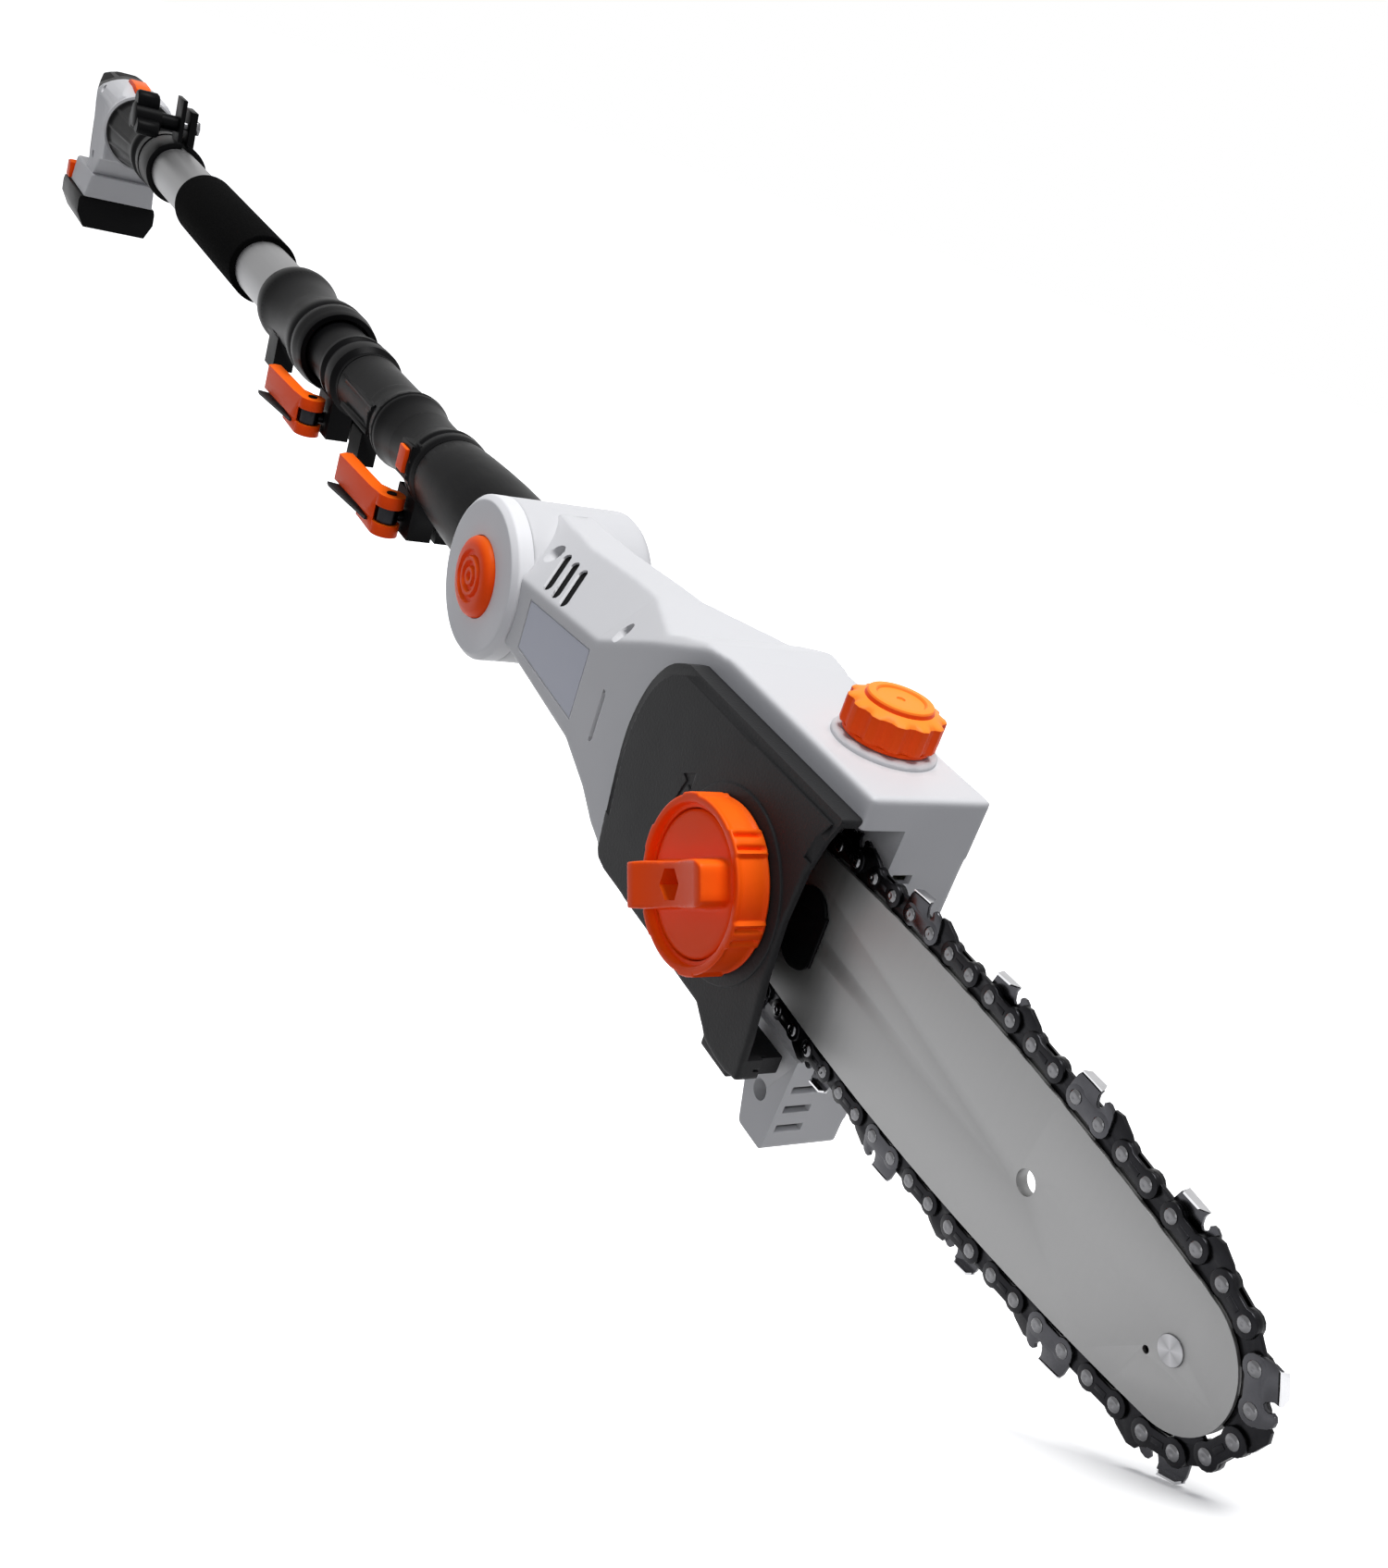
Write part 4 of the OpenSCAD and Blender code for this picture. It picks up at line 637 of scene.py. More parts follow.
def sprocket_cover():
    """Cover with a worn rim, a step inside its upper edge, a collar round the knob and an arrow."""
    s = SKIN
    plate = prism(smooth_cover(s), "Y", -COVER_Y + s, -26)
    catcher = box((-4 + s, -COVER_Y + 1, -50.5 + s), (13.4 - s, -14, -33.6))
    form = melted(joined(plate, catcher), 0.6, 10)
    collar = turned(rounded([(-COVER_Y - 0.7 + s, 0), (-COVER_Y - 0.7 + s, RING_R + 3.3),
                             (-COVER_Y + 2, RING_R + 3.3), (-COVER_Y + 2, 0)],
                            [0, 0.6, 0, 0]), "Y", (KNOB_X, 0))
    carve(form, collar, "UNION")
    # Lower strip along the rear and upper rim
    strip = prism(smooth_cover(-4), "Y", -60, -COVER_Y + 0.8)
    carve(strip, prism(smooth_cover(3.6), "Y", -61, -COVER_Y + 2))
    carve(strip, box((-60, -70, -60), (60, 0, 30)))
    carve(strip, box((-130, -70, -60), (-50, 0, -20)))
    carve(form, strip)
    # Arrow for the knob's closing turn
    def around(r, degrees):
        a = math.radians(degrees)
        return KNOB_X + r * math.cos(a), r * math.sin(a)

    shaft = [around(39.4, a) for a in range(155, 177, 3)]
    shaft += [around(37.8, a) for a in range(175, 153, -3)]
    carve(form, prism(shaft, "Y", -60, -COVER_Y + 0.6))
    point = [around(38.6, 147), around(42.4, 156), around(35, 156)]
    carve(form, prism(point, "Y", -60, -COVER_Y + 0.6))
    within("sprocket_cover", form)
    bpy.data.objects.remove(form)


def knob_ring():
    """Ring with six groups of three ribs between worn flats."""
    def wave(a, r, along):
        if r < RING_R - 2.5:
            return r
        turn = (math.degrees(a) % RING_STEP + RING_STEP / 2) % RING_STEP - RING_STEP / 2
        groove = sum(math.exp(-((turn - c) / GROOVE_WIDE) ** 2) for c in (-GROOVE_AT, GROOVE_AT))
        flat = min(1.0, max(0.0, (abs(turn) - FLAT_FROM) / FLAT_EASE))
        ends = min(1.0, max(0.0, (-RING_BACK - 0.7 - along) / 1.2),
                   max(0.0, (along + RING_BACK + RING_LEN - 0.6) / 1.2))
        return r - GROOVE_DEEP * ends * groove - FLAT_DEEP * flat * (0.45 + 0.55 * ends)

    face = -RING_BACK - RING_LEN
    profile = [(-30, 10), (-30, 16), (-RING_BACK, 16), (-RING_BACK, RING_R - 1),
               (-RING_BACK - 0.3, RING_R - 0.4), (-RING_BACK - 0.9, RING_R)]
    profile += [(-RING_BACK - 0.9 - (RING_LEN - 2.8) * i / 10, RING_R) for i in range(1, 11)]
    profile += [(face + 0.9 - 0.9 * math.sin(i * math.pi / 12),
                 RING_R - 0.9 + 0.9 * math.cos(i * math.pi / 12)) for i in range(1, 7)]
    profile += [(face, RING_R - 2.9), (face + 0.25, RING_R - 3.2), (face + 2.2, RING_R - 3.7),
                (face + 2.3, RING_R - 4.8), (-RING_BACK - 3, RING_R - 4.8), (-RING_BACK - 3, 10)]
    ring = turned(profile, "Y", (KNOB_X, 0), 720, wave=wave)
    finish(ring, "knob_ring_skin", "knob_ring", angle=40)


def knob_core():
    """Disc with a waisted grip bar across it and a hexagon in the bar's middle."""
    disc_y = -RING_BACK - RING_LEN + 2
    plate = turned(rounded([(disc_y, 0), (disc_y, CORE_R), (disc_y + 6.7, CORE_R),
                            (disc_y + 6.7, 0)], [0, 1.2, 0.5, 0]), "Y", (KNOB_X, 0))
    hub = turned([(disc_y + 3, 0), (disc_y + 3, 9.92), (-30, 9.92), (-30, 0)], "Y", (KNOB_X, 0))
    grip = [(-21.6, -7.3), (-15, -7.5), (-9, -7.4), (-4, -7.1), (4, -7.1), (9, -7.4), (15, -7.4),
            (19.2, -6.9), (21.3, -5.6), (21.6, -3.5)]
    grip = grip + [(x, -z) for x, z in reversed(grip)]
    tilt = math.radians(GRIP_TILT)
    grip = [(KNOB_X + x * math.cos(tilt) - z * math.sin(tilt),
             x * math.sin(tilt) + z * math.cos(tilt)) for x, z in grip]
    bar = prism(grip, "Y", -GRIP_OUT, disc_y + 2)
    dish = prism(circle(DISH_R, (0, -GRIP_OUT - DISH_OUT), 160), "Z", -30, 30, origin=0,
                 turn=Matrix.Rotation(-tilt, 3, "Y"))
    dish.data.transform(Matrix.Translation(((HEAD_X + KNOB_X) * MM, 0, 0)))
    carve(bar, dish)
    core = melted(joined(bar, plate, hub), 0.45, 20)
    hexagon = [(KNOB_X + HEX_R * math.cos(math.radians(60 * i + GRIP_TILT)),
                HEX_R * math.sin(math.radians(60 * i + GRIP_TILT))) for i in range(6)]
    carve(core, prism(hexagon, "Y", -80, disc_y + 1))
    carve(core, turned([(disc_y + 2.2, 0), (disc_y + 2.2, 4.08), (0, 4.08), (0, 0)], "Y",
                       (KNOB_X, 0)))
    finish(core, "knob_core_skin", "knob_core")


def oil_cap():
    """Filler cap with twelve broad flutes, a raised disc with a ring in it, and a small dimple."""
    low = BLOCK_TOP + 2.4
    high = low + 10.2

    def wave(a, r, along):
        depth = FLUTE_DEEP * min(1.0, max(0.0, (r - 13.6) / 1.6))
        off_flute = abs(math.degrees(a) % FLUTE_STEP - FLUTE_STEP / 2)
        return r - depth * min(1.0, max(0.0, (FLUTE_EDGE - off_flute) / FLUTE_SLOPE))

    skirt = low + 1.4
    profile = [(low, 0), (low, 12.2), (skirt, 12.4), (skirt, 14.9), (skirt + 0.3, 15.5),
               (skirt + 0.9, FILLER_R)]
    profile += [(skirt + 0.9 + 6.6 * i / 6, FILLER_R) for i in range(1, 7)]
    profile += [(high - 0.1, 15.7), (high + 0.15, 15.4), (high + 0.6, 14.2), (high + 1.2, 12.6),
                (high + 1.7, 11.2), (high + 2.9, 10.9), (high + 3.4, 10.5), (high + 3.6, 9.9),
                (high + 3.6, 8.2), (high + 3.3, 7.8), (high + 2.9, 7.5), (high + 2.9, 1.5),
                (high + 2.4, 1.1), (high + 2.2, 0)]
    cap = turned(profile, "Z", (CAP_X, CAP_Y), 360, wave=wave)
    carve(cap, turned([(low - 1, 0), (low - 1, 11.08), (BLOCK_TOP + 9.4, 11.08),
                       (BLOCK_TOP + 9.4, 0)], "Z", (CAP_X, CAP_Y)))
    dress(finish(cap, "oil_cap_skin", "oil_cap", angle=24), "cap_orange")
    collar = turned(rounded([(low, 12.3), (low, 14.3), (skirt - 0.1, 14.3), (skirt - 0.1, 12.3)],
                            [0, 0.4, 0.4, 0]), "Z", (CAP_X, CAP_Y))
    finish(collar, "oil_cap_collar", slot="orange_plastic", body="oil_cap")


def pivot():
    """The drum's end cap with a rounded rim, and its push button with rings turned in its face."""
    s = 0.05  # how far the cap lies inside the CAD's
    face = -DRUM_HW
    rear, floor = face + DRUM_CAP - s, face + BORE_DEEP
    rim = rounded([(rear, STEM_BORE), (floor, STEM_BORE), (floor, BUTTON_BORE),
                   (face + s, BUTTON_BORE), (face + s, DRUM_R - 4), (face + s, DRUM_R - 2.5),
                   (face + 2.5, DRUM_R - s), (rear, DRUM_R - s)], [0, 0, 0, 0, 0, 1.4, 1.8, 0], 6)
    cap = turned(rim, "Y", (PIVOT_X, 0), 160)
    finish(cap, "pivot_cap_skin", "pivot_cap")
    dress(cap, "cap_white")
    out = face - 4
    rings = [(out + 1.4, 0), (out + 1.4, 1.4), (out, 2.2), (out, 3.6), (out + 1.5, 4.4),
             (out + 1.5, 5.8), (out, 6.6), (out, 8.0), (out + 1.5, 8.8), (out + 1.5, 10.4),
             (out + 0.1, 11.2), (out + 0.2, 13.2), (out + 0.7, 14.9), (out + 1.7, 16.3),
             (out + 3, BUTTON_R), (face + 3, BUTTON_R), (face + 3, STEM_R), (face + 6.3, STEM_R),
             (face + 6.3, 0)]
    button = turned(rings, "Y", (PIVOT_X, 0), 128)
    finish(button, "pivot_button_skin", "pivot_button")


sprocket_cover()
knob_ring()
knob_core()
oil_cap()
pivot()


# ---- bar and chain ----

PITCH, RIVETS = 9.525, 66
NOSE_R, TAIL_X, TAIL_R = 23.2, -69.698, 21.4025
CROWN_X, CROWN_Z, CROWN_R = 58.10, 797.42, 829.0
ANGLE_NOSE = math.atan2(CROWN_Z, NOSE_X - CROWN_X)
ANGLE_TAIL = math.atan2(CROWN_Z, TAIL_X - CROWN_X)
LEN_NOSE = NOSE_R * ANGLE_NOSE
LEN_CROWN = CROWN_R * (ANGLE_TAIL - ANGLE_NOSE)
LEN_HALF = LEN_NOSE + LEN_CROWN + TAIL_R * (math.pi - ANGLE_TAIL)
STRAP_IN, STRAP_OUT, LINK_R = 0.65, 1.65, 3.5
FIRST_RIVET = 5.5
RIVET_DOME = ((2.0, 0), (2.0, 0.18), (1.75, 0.45), (1.2, 0.66), (0.75, 0.72), (0.45, 0.62),
              (0.2, 0.56))
TIP_RIVET_R, TIP_RIVET_OUT, BAR_HALF = 3.78, 0.39, 2


def half_at(s):
    """Place at a distance along the upper half of the chain's line, from the nose back."""
    if s < LEN_NOSE:
        x, z, r, a = NOSE_X, 0, NOSE_R, s / NOSE_R
    elif s < LEN_NOSE + LEN_CROWN:
        x, z, r, a = CROWN_X, -CROWN_Z, CROWN_R, ANGLE_NOSE + (s - LEN_NOSE) / CROWN_R
    else:
        x, z, r, a = TAIL_X, 0, TAIL_R, ANGLE_TAIL + (s - LEN_NOSE - LEN_CROWN) / TAIL_R
    return x + r * math.cos(a), z + r * math.sin(a)


def rivet_at(i):
    """Place of a rivet on the chain's loop, counted from the tail."""
    s = (LEN_HALF + FIRST_RIVET + 2 * LEN_HALF / RIVETS * (i % RIVETS)) % (2 * LEN_HALF)
    if s <= LEN_HALF:
        return half_at(s)
    x, z = half_at(2 * LEN_HALF - s)
    return x, -z


def on_link(i):
    """Turns a link's own places (along it, towards the bar, out from it) into the head's."""
    (px, pz), (qx, qz) = rivet_at(i), rivet_at(i + 1)
    a = math.atan2(qz - pz, qx - px)
    c, s = math.cos(a), math.sin(a)
    return lambda u, v, y: (px + u * c - v * s, -BAR_Y + y, pz + u * s + v * c)


class Heap:
    """Many closed shells gathered into one mesh."""

    def __init__(self):
        self.corners, self.faces = [], []

    def loft(self, place, rings):
        """Closed shell through rings of (u, v, y) with as many points each."""
        start, n = len(self.corners), len(rings[0])
        for ring in rings:
            self.corners += [place(*p) for p in ring]
        for j in range(len(rings) - 1):
            a, b = start + j * n, start + (j + 1) * n
            self.faces += [[a + i, a + (i + 1) % n, b + (i + 1) % n, b + i] for i in range(n)]
        self.faces.append([start + i for i in range(n)])
        self.faces.append([start + (len(rings) - 1) * n + i for i in range(n)])

    def plate(self, place, outline, y_in, y_out, rim=0.3):
        """Plate with a worn outer rim; outline is a function of how far it is drawn in."""
        way = 1 if y_out > y_in else -1
        rows = ((0, y_in), (0, y_out - way * rim),
                (rim * 0.35, y_out - way * rim * 0.3), (rim, y_out))
        self.loft(place, [[(u, v, y) for u, v in outline(w)] for w, y in rows])

    def piece(self, name, *replaced, **more):
        """The heap as one finished piece."""
        return finish(built(name, self.corners, self.faces), name, *replaced, **more)


def strap_outline(w):
    """A tie strap's two round ends, drawn in by w."""
    r = LINK_R - w
    right = [(PITCH + r * math.cos(math.radians(a)), r * math.sin(math.radians(a)))
             for a in range(-132, 133, 24)]
    return right + [(r * math.cos(math.radians(a)), r * math.sin(math.radians(a)))
                    for a in range(48, 313, 24)]


def dash(w):
    """The raised bar between a strap's rivets, drawn in by w."""
    return [(2.9 + w, -0.75 + w), (6.6 - w, -0.75 + w), (6.6 - w, 0.75 - w), (2.9 + w, 0.75 - w)]


def grown_in(points, w):
    """Outline drawn in by w towards its middle; enough for a small rim."""
    n = len(points)
    out = []
    for i, (u, v) in enumerate(points):
        a, b = points[i - 1], points[(i + 1) % n]
        t = Vector((b[0] - a[0], b[1] - a[1])).normalized()
        out.append((u - t.y * w, v + t.x * w))
    return out


SIDE_PLATE = [(-3.2, 0.6), (-3.1, -2.2), (-2.3, -4.6), (-1.3, -6.0), (0.1, -6.6), (1.2, -6.4),
              (1.8, -5.6), (1.5, -4.6), (1.9, -3.6), (2.8, -3.1), (3.5, -3.6), (3.9, -4.6),
              (4.2, -5.8), (3.9, -7.3), (7.5, -7.2), (11.5, -6.9), (12.3, -5.2), (12.8, -2.4),
              (PITCH + 3.3, 0.6)]


def cutter_side(i):
    """0 for a plain tie strap, or else the side of the bar across from the link's cutter."""
    if i % 4 != 1 or i > RIVETS - 4:
        return 0
    return 1 if i % 8 == 1 else -1


def chain():
    """Rivets, tie straps on every second link, cutters on every fourth, soft drive links."""
    straps, rivets, plates, tops = Heap(), Heap(), Heap(), Heap()
    for i in range(RIVETS):
        px, pz = rivet_at(i)
        for way in (-1, 1):
            rivets.loft(lambda u, v, y: (px + u, -BAR_Y + y, pz + v),
                        [[(r * math.cos(a * math.pi / 8), r * math.sin(a * math.pi / 8),
                           way * (STRAP_OUT + h)) for a in range(16)] for r, h in RIVET_DOME])
    for i in range(1, RIVETS, 2):
        place = on_link(i)
        side = cutter_side(i)
        for way in (-1, 1):
            if side * way == -1:
                continue
            straps.plate(place, strap_outline, way * STRAP_IN, way * STRAP_OUT)
            straps.plate(place, dash, way * (STRAP_OUT - 0.1), way * (STRAP_OUT + 0.22), 0.2)
        if side:
            way = -side
            plates.plate(place, strap_outline, way * STRAP_IN, way * (STRAP_OUT + 0.04))
            plates.plate(place, lambda w: grown_in(SIDE_PLATE, w), way * STRAP_IN, way * STRAP_OUT,
                         0.25)
            # Top plate: bent over the chain, its cutting edge filed aslant
            near, far = way * STRAP_OUT, -way * 1.15
            mid = near * 0.6
            tops.loft(place, [
                [(3.9, -7.5, near), (11.6, -7.05, near), (11.6, -6.2, near), (4.2, -6.7, near)],
                [(3.9, -7.62, mid), (11.5, -7.1, mid), (11.4, -6.4, mid), (4.4, -6.9, mid)],
                [(5.3, -7.62, far), (10.9, -7.1, far), (10.8, -6.5, far), (5.7, -7.0, far)]])
    straps.piece("chain_tie_links_skin", "chain_tie_links")
    rivets.piece("chain_rivets", slot="steel", body="head")
    plates.piece("chain_cutters_skin", "chain_cutters", angle=30)
    edges = tops.piece("cutter_top_plates", slot="cutter_chrome", body="head", angle=25)
    # The top plates take a far lighter chrome than the side plates: painted light on faces that
    # point up to the lamp
    dress(edges, "cutter_top_painted_light")
    soften("chain_drive_links", 0.18, 2)


def bar():
    """Guide bar, and its nose rivet with the painted highlight rays of a turned face."""
    soften("guide_bar", 0.25, 2)
    y0 = -BAR_Y - BAR_HALF
    out, back = y0 - TIP_RIVET_OUT, y0 + 2 * BAR_HALF + TIP_RIVET_OUT
    face = turned(rounded([(out, 0), (out, TIP_RIVET_R), (back, TIP_RIVET_R), (back, 0)],
                          [0, 0.2, 0.2, 0]), "Y", (NOSE_X, 0), 96)
    finish(face, "nose_rivet_skin", "nose_rivet")
    face.data.materials.clear()
    face.data.materials.append(spun("spun_steel", "#8A8A8C", ((HEAD_X + NOSE_X) * MM, y0 * MM, 0)))


chain()
bar()


# ---- pole and handle; lengths are in the whole saw's own frame ----

TUBE_R, BELL_X, STRAP_X, STRAP_Z = 18.0, -170, -51, 33
SLEEVE_PIN_X, COUPLER_PIN_X = 414, 551
FOAM_REAR, FOAM_FRONT, FOAM_WALL, FOAM_FIT = 58, 217, 3.7, 0.15
PAD_LOW, PAD_HIGH, LATHE_CORNERS = -34.4, -33.0, 144
RIB_STEP, RIB_TURN, RIB_EDGE, RIB_DEEP, WING_CORE_R = 30, 7, 12.4, 0.9, 9
COLLAR = [(286, 19.0), (286.2, 20.6), (287, 21.6), (289, 22.5), (292, 23.3), (296, 23.8),
          (299, 23.8), (302, 23.5), (305, 22.7), (313, 21.6), (325, 20.95), (336, 21.1),
          (346, 21.9), (352, 22.7), (356, 23.5), (360, 23.95), (365, 23.95), (366, 23.3),
          (367.5, 23.3), (368.5, 23.95), (373, 23.95), (376, 23.4), (381, 23.0), (383, 22.4)]
COUPLER = [(439, 18.0), (484, 18.0), (489, 18.1), (496, 18.7), (500, 19.5), (503, 20.4),
           (505, 20.5), (505.6, 20.0), (506.4, 20.0), (507, 20.4), (509, 20.0), (511, 19.3),
           (517, 18.6), (524, 18.05), (547, 18.0), (552, 19.0), (556, 20.3), (559, 20.6),
           (560, 20.0), (561.2, 20.0), (562, 20.6), (566, 20.5), (569, 19.7)]


def lathed(profile, wave=None):
    """Solid form round the pole's axis, a little longer than its profile."""
    (rear, rear_r), (front, front_r) = profile[0], profile[-1]
    outline = [(rear - 0.5, 0), (rear - 0.5, rear_r)] + profile
    outline += [(front + 0.5, front_r), (front + 0.5, 0)]
    return turned(outline, "X", (0, 0), LATHE_CORNERS, origin=0, wave=wave)


def sleeve(profile, bore):
    """Closed ring round the pole's axis."""
    inside = [(profile[-1][0], bore), (profile[0][0], bore)]
    return turned(profile + inside, "X", (0, 0), LATHE_CORNERS, origin=0)


def block(low, high):
    """Box in the whole saw's own frame."""
    return box(low, high, 0)


def trimmed(node, form, allowed=()):
    """A CAD node trimmed to a form and to the blocks where it stays as it is."""
    for extra in allowed:
        carve(form, extra, "UNION")
    piece = carve(copy_of(node), form, "INTERSECT")
    return finish(piece, node + "_skin", node, angle=32)


def pole():
    """Collar, coupler, foam grip and the levers' pads."""
    trimmed("collar_a", lathed(COLLAR), [block((309, -19, -32), (328, -5, -10))])
    clamp = COUPLER_PIN_X
    trimmed("coupler", lathed(COUPLER), [block((451, -21, -9), (496, -10, 8)),
                                         block((clamp - 13, -16, -38), (clamp + 13, 12, -12)),
                                         block((clamp - 86, -18, -31), (clamp - 66, -4, -10)),
                                         block((545, -22, -8), (563, -10, 12))])
    inner, outer = TUBE_R + FOAM_FIT, TUBE_R + FOAM_WALL
    grip = sleeve(rounded([(FOAM_REAR, inner), (FOAM_REAR, outer), (FOAM_FRONT, outer),
                           (FOAM_FRONT, inner)], [0, 1.2, 1.2, 0], 6), inner)
    finish(grip, "foam_grip_skin", "foam_grip", angle=50)
    for letter, pin_x in (("a", SLEEVE_PIN_X), ("b", COUPLER_PIN_X)):
        outline = [(pin_x - 50, -35.2), (pin_x - 46, -35.6), (pin_x - 6, -29.4), (pin_x - 6, -19),
                   (pin_x - 20, -20.5), (pin_x - 47, -28)]
        pad = prism(outline, "Z", PAD_LOW, PAD_HIGH, origin=0)
        finish(pad, "lever_pad_%s_skin" % letter, "lever_pad_" + letter)


def handle_form():
    """The handle's outer skin: a high hump, the grip behind it, the foot and the bell's flange."""
    top, front = -45.5, -213
    side = [(BELL_X - 2, 26), (-195, 31), (-225, 32.5), (-252, 32), (-272, 22), (-292, 5),
            (-303, -15), (-305, -38), (-305, top - 2), (front, top - 2), (-192, -30),
            (BELL_X - 2, -26)]
    plan = [(BELL_X - 2, -25.5), (BELL_X - 2, 25.5), (-200, 24), (-238, 24), (-264, 15.5),
            (-290, 13), (-306, 10), (-306, -10), (-290, -13), (-264, -15.5), (-238, -24),
            (-200, -24)]
    arch = [(-26 * math.cos(math.radians(a)), 7 + 25.9 * math.sin(math.radians(a)))
            for a in range(0, 181, 12)]
    form = prism(side, "Y", -30, 30, origin=0)
    carve(form, prism(plan, "Z", -60, 60, origin=0), "INTERSECT")
    carve(form, prism([(-26, -60)] + arch + [(26, -60)], "X", -320, -120, origin=0), "INTERSECT")
    foot = prism([(-275, top), (front + 9, top), (front, -66), (-275, -66)], "Y", -30, 30, origin=0)
    carve(foot, prism([(-25, top), (-28, -66), (28, -66), (25, top)], "X", -320, -120, origin=0),
          "INTERSECT")
    melted(joined(form, foot), 0.9, 12)
    return carve(form, lathed([(BELL_X - 2.5, 28.5), (BELL_X - 0.55, 28.5)]), "UNION")


def bell():
    """The black bell in front of the handle, ribbed along its cone."""
    def ribs(a, r, along):
        if r < 1 or not BELL_X + 5 < along < BELL_X + 69:
            return r
        off_groove = abs((math.degrees(a) + RIB_TURN) % RIB_STEP - RIB_STEP / 2)
        return r if off_groove > RIB_EDGE else r - RIB_DEEP

    cone = [(BELL_X, 26.6), (BELL_X + 4, 26.9), (BELL_X + 5, 26.5), (BELL_X + 6, 26.3)]
    cone += [(BELL_X + 6 + 7 * i, 26.3 - 0.56 * i) for i in range(1, 10)]
    cone += [(BELL_X + 71.5, 21.3), (BELL_X + 73, 22.8), (BELL_X + 84, 22.9), (BELL_X + 85.5, 21.2),
             (BELL_X + 92, 21.2), (BELL_X + 93.6, 22.3), (BELL_X + 102, 22.3)]
    trimmed("bell_cone", lathed(cone, ribs))


def wing_knob():
    """Knob with three lobes and a long collar, on the strap's bolt."""
    def lobes(a, r, along):
        if r <= WING_CORE_R:
            return r
        reach = max(0.0, math.cos(3 * a + math.pi / 2)) ** 0.55
        return WING_CORE_R + (r - WING_CORE_R) * reach

    knob = turned([(-34, 0), (-34, 7.6), (-33.2, 9), (-33, 9), (-33, 16.6), (-31.6, 17.9),
                   (-19, 17.9), (-17.4, 16.6), (-17.4, 9), (-15, 9), (-15, 5.5), (-2.4, 5.5),
                   (-2.4, 0)], "Y", (STRAP_X, STRAP_Z), 180, origin=0, wave=lobes)
    carve(knob, turned([(-31, 0), (-31, 3.3), (5, 3.3), (5, 0)], "Y", (STRAP_X, STRAP_Z), 48,
                       origin=0))
    finish(knob, "wing_knob_skin", "wing_knob")


def handle():
    """Both shells and the overmould cut from one rounded form, then the bell and the wing knob."""
    form = handle_form()
    for node in ("handle_shell_left", "handle_shell_right", "grip_overmould"):
        piece = within(node, form)
        if node != "grip_overmould":
            dress(piece, "shell_two_tone")
    bpy.data.objects.remove(form)
    bell()
    wing_knob()


pole()
handle()


# ---- camera, lights and floor ----

def camera():
    """The photograph's viewpoint: its place, direction, tilt of the frame and lens."""
    eye = (1.27119, -0.32007, 0.23810)
    look_azimuth, look_elevation, roll, lens = 143.837, -24.734, 19.017, 37.830
    lens_data = bpy.data.cameras.new("camera")
    lens_data.sensor_fit = "VERTICAL"
    lens_data.sensor_height = 36
    lens_data.lens = lens
    lens_data.clip_start = 0.01
    lens_data.clip_end = 60
    obj = link("camera", lens_data)
    turn = (Matrix.Rotation(math.radians(look_azimuth - 90), 4, "Z")
            @ Matrix.Rotation(math.radians(90 + look_elevation), 4, "X")
            @ Matrix.Rotation(math.radians(roll), 4, "Z"))
    obj.matrix_world = Matrix.Translation(eye) @ turn
    bpy.context.scene.camera = obj


def area_light(name, place, target, size, power):
    """Round lamp that faces a target."""
    data = bpy.data.lights.new(name, "AREA")
    data.shape = "DISK"
    data.size = size
    data.energy = power
    obj = link(name, data)
    obj.location = place
    obj.rotation_euler = (Vector(target) - Vector(place)).to_track_quat("-Z", "Y").to_euler()


def seen(tree, base, shown):
    """One shader for light in the room, and another for what the eye, metal and glass see."""
    path = tree.nodes.new("ShaderNodeLightPath")
    rays = [path.outputs[k] for k in ("Is Camera Ray", "Is Glossy Ray", "Is Transmission Ray")]
    either = rays[0]
    for ray in rays[1:]:
        step = tree.nodes.new("ShaderNodeMath")
        step.operation = "MAXIMUM"
        tree.links.new(either, step.inputs[0])
        tree.links.new(ray, step.inputs[1])
        either = step.outputs[0]
    mix = tree.nodes.new("ShaderNodeMixShader")
    tree.links.new(either, mix.inputs[0])
    tree.links.new(base, mix.inputs[1])
    tree.links.new(shown, mix.inputs[2])
    return mix.outputs[0]


def studio():
    """A broad lamp overhead, a weak one in front, and a white surround for eye and metal."""
    world = bpy.data.worlds.new("studio")
    bpy.context.scene.world = world
    world.use_nodes = True
    tree = world.node_tree
    base = tree.nodes["Background"]
    base.inputs["Color"].default_value = (0.84, 0.88, 1.0, 1)
    base.inputs["Strength"].default_value = 0.22
    white = tree.nodes.new("ShaderNodeBackground")
    white.inputs["Color"].default_value = (1, 1, 1, 1)
    white.inputs["Strength"].default_value = 1.0
    tree.links.new(seen(tree, base.outputs[0], white.outputs[0]),
                   tree.nodes["World Output"].inputs["Surface"])
    area_light("key", (0.75, 0.15, 2.5), (0.75, 0, 0), 1.4, 70)
    area_light("fill", (2.1, -1.5, 0.9), (0.8, 0, 0), 1.2, 5)


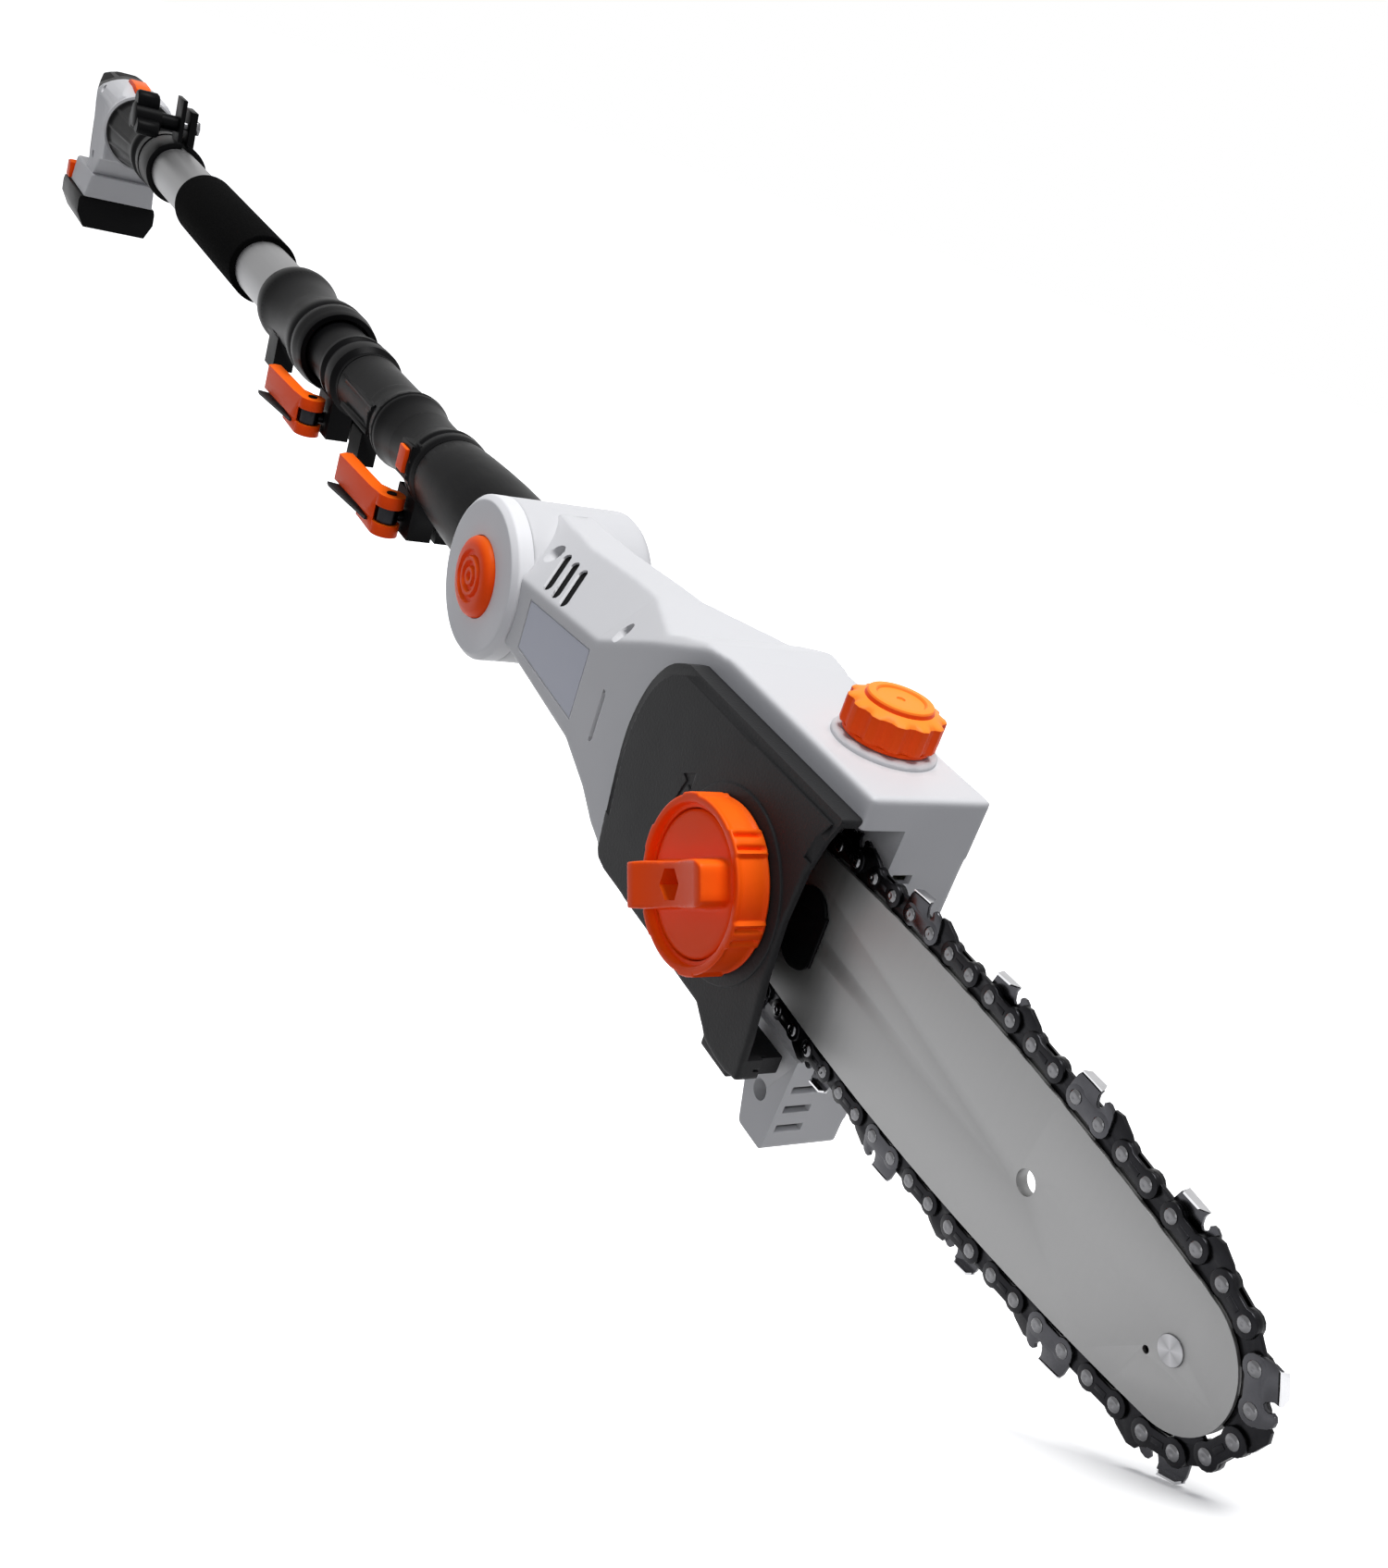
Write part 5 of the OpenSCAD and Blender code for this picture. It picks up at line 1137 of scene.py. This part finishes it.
def disc(name, place, normal, size, grey, glow):
    """Round flat ground: plain grey in the room's light, white where the eye, metal and glass
    see it, with the object's shadow, and clear from below; glow is at its middle and its rim."""
    mesh = bpy.data.meshes.new(name)
    ring = [(size * x, size * y, 0) for x, y in circle(1.0)]
    mesh.from_pydata(ring, [], [list(range(len(ring)))])
    obj = link(name, mesh)
    obj.location = place
    obj.rotation_euler = Vector(normal).to_track_quat("Z", "Y").to_euler()
    g = Graph(name)
    g.set(Base_Color=g.ramp(g.noise(3, 2), [(0.2, shade(grey, 0.98)), (0.8, shade(grey, 1.02))]),
          Roughness=0.9, Specular_IOR_Level=0.0)
    pale = g.add("BsdfDiffuse", Color=(0.8, 0.8, 0.8, 1))
    lit = g.add("AddShader")
    g.put(lit.inputs[0], pale.outputs[0])
    reach = g.add("TexGradient", {"gradient_type": "SPHERICAL"}, Vector=g.coords([1 / size] * 3))
    strength = g.spread(reach.outputs["Fac"], glow[1], glow[0])
    g.put(lit.inputs[1], g.add("Emission", Strength=strength).outputs[0])
    one_sided = g.add("MixShader")
    g.put(one_sided.inputs[0], g.add("NewGeometry").outputs["Backfacing"])
    g.put(one_sided.inputs[1], seen(g.tree, g.shader.outputs[0], lit.outputs[0]))
    g.put(one_sided.inputs[2], g.add("BsdfTransparent").outputs[0])
    g.put(g.tree.nodes["Material Output"].inputs["Surface"], one_sided.outputs[0])
    mesh.materials.append(g.material)
    obj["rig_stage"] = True
    return obj


NOD_ROOM, FLOOR_R, PLINTH_R, TOUCH = 0.3, 6, 0.12, 0.0004  # metres
TIP_GROUND = Vector((-0.552, 0.024, 0.834)).normalized()  # the plinth's normal
GROUND_GREY = [0.38, 0.38, 0.38]


def ground():
    """The floor, with room for the bar of a nodded head, and a small tilted plinth that the
    chain's lowest link just touches. The plinth stays with the head, so that it cuts nothing
    when the pole is drawn out."""
    disc("floor", (0.5, 0, cad_low[2] - NOD_ROOM), (0, 0, 1), FLOOR_R, GROUND_GREY, (0.95, 0.95))
    lowest = min((v.co for n in ("chain_cutters", "chain_tie_links")
                  for v in nodes[n].data.vertices), key=lambda c: c.dot(TIP_GROUND))
    plinth = disc("plinth", lowest - TOUCH * TIP_GROUND, TIP_GROUND, PLINTH_R, GROUND_GREY,
                  (0.15, 1.0))
    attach(plinth, "head")


camera()
studio()
ground()

# Inner nodes and plain turned ones keep their CAD shape; any other that nothing stands for yet
# is softened
AS_IN_CAD = ["battery_cells", "motor_can", "rotor", "pinion", "spindle", "crown_gear",
             "drive_sprocket", "spindle_bearings", "oil_tank", "oil_pump", "switch_module",
             "terminal_block", "pivot_pin", "inner_tube", "outer_tube", "nose_sprocket",
             "handle_screws", "lever_pin_a", "lever_pin_b", "bar_stud"]
made = {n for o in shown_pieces() for n in o.get("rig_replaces", [])}
for node in nodes:
    if node in AS_IN_CAD:
        dress(nodes[node], slot_of[node])
    elif node not in made:
        soften(node)

scene = bpy.context.scene
scene.view_settings.view_transform = "Standard"
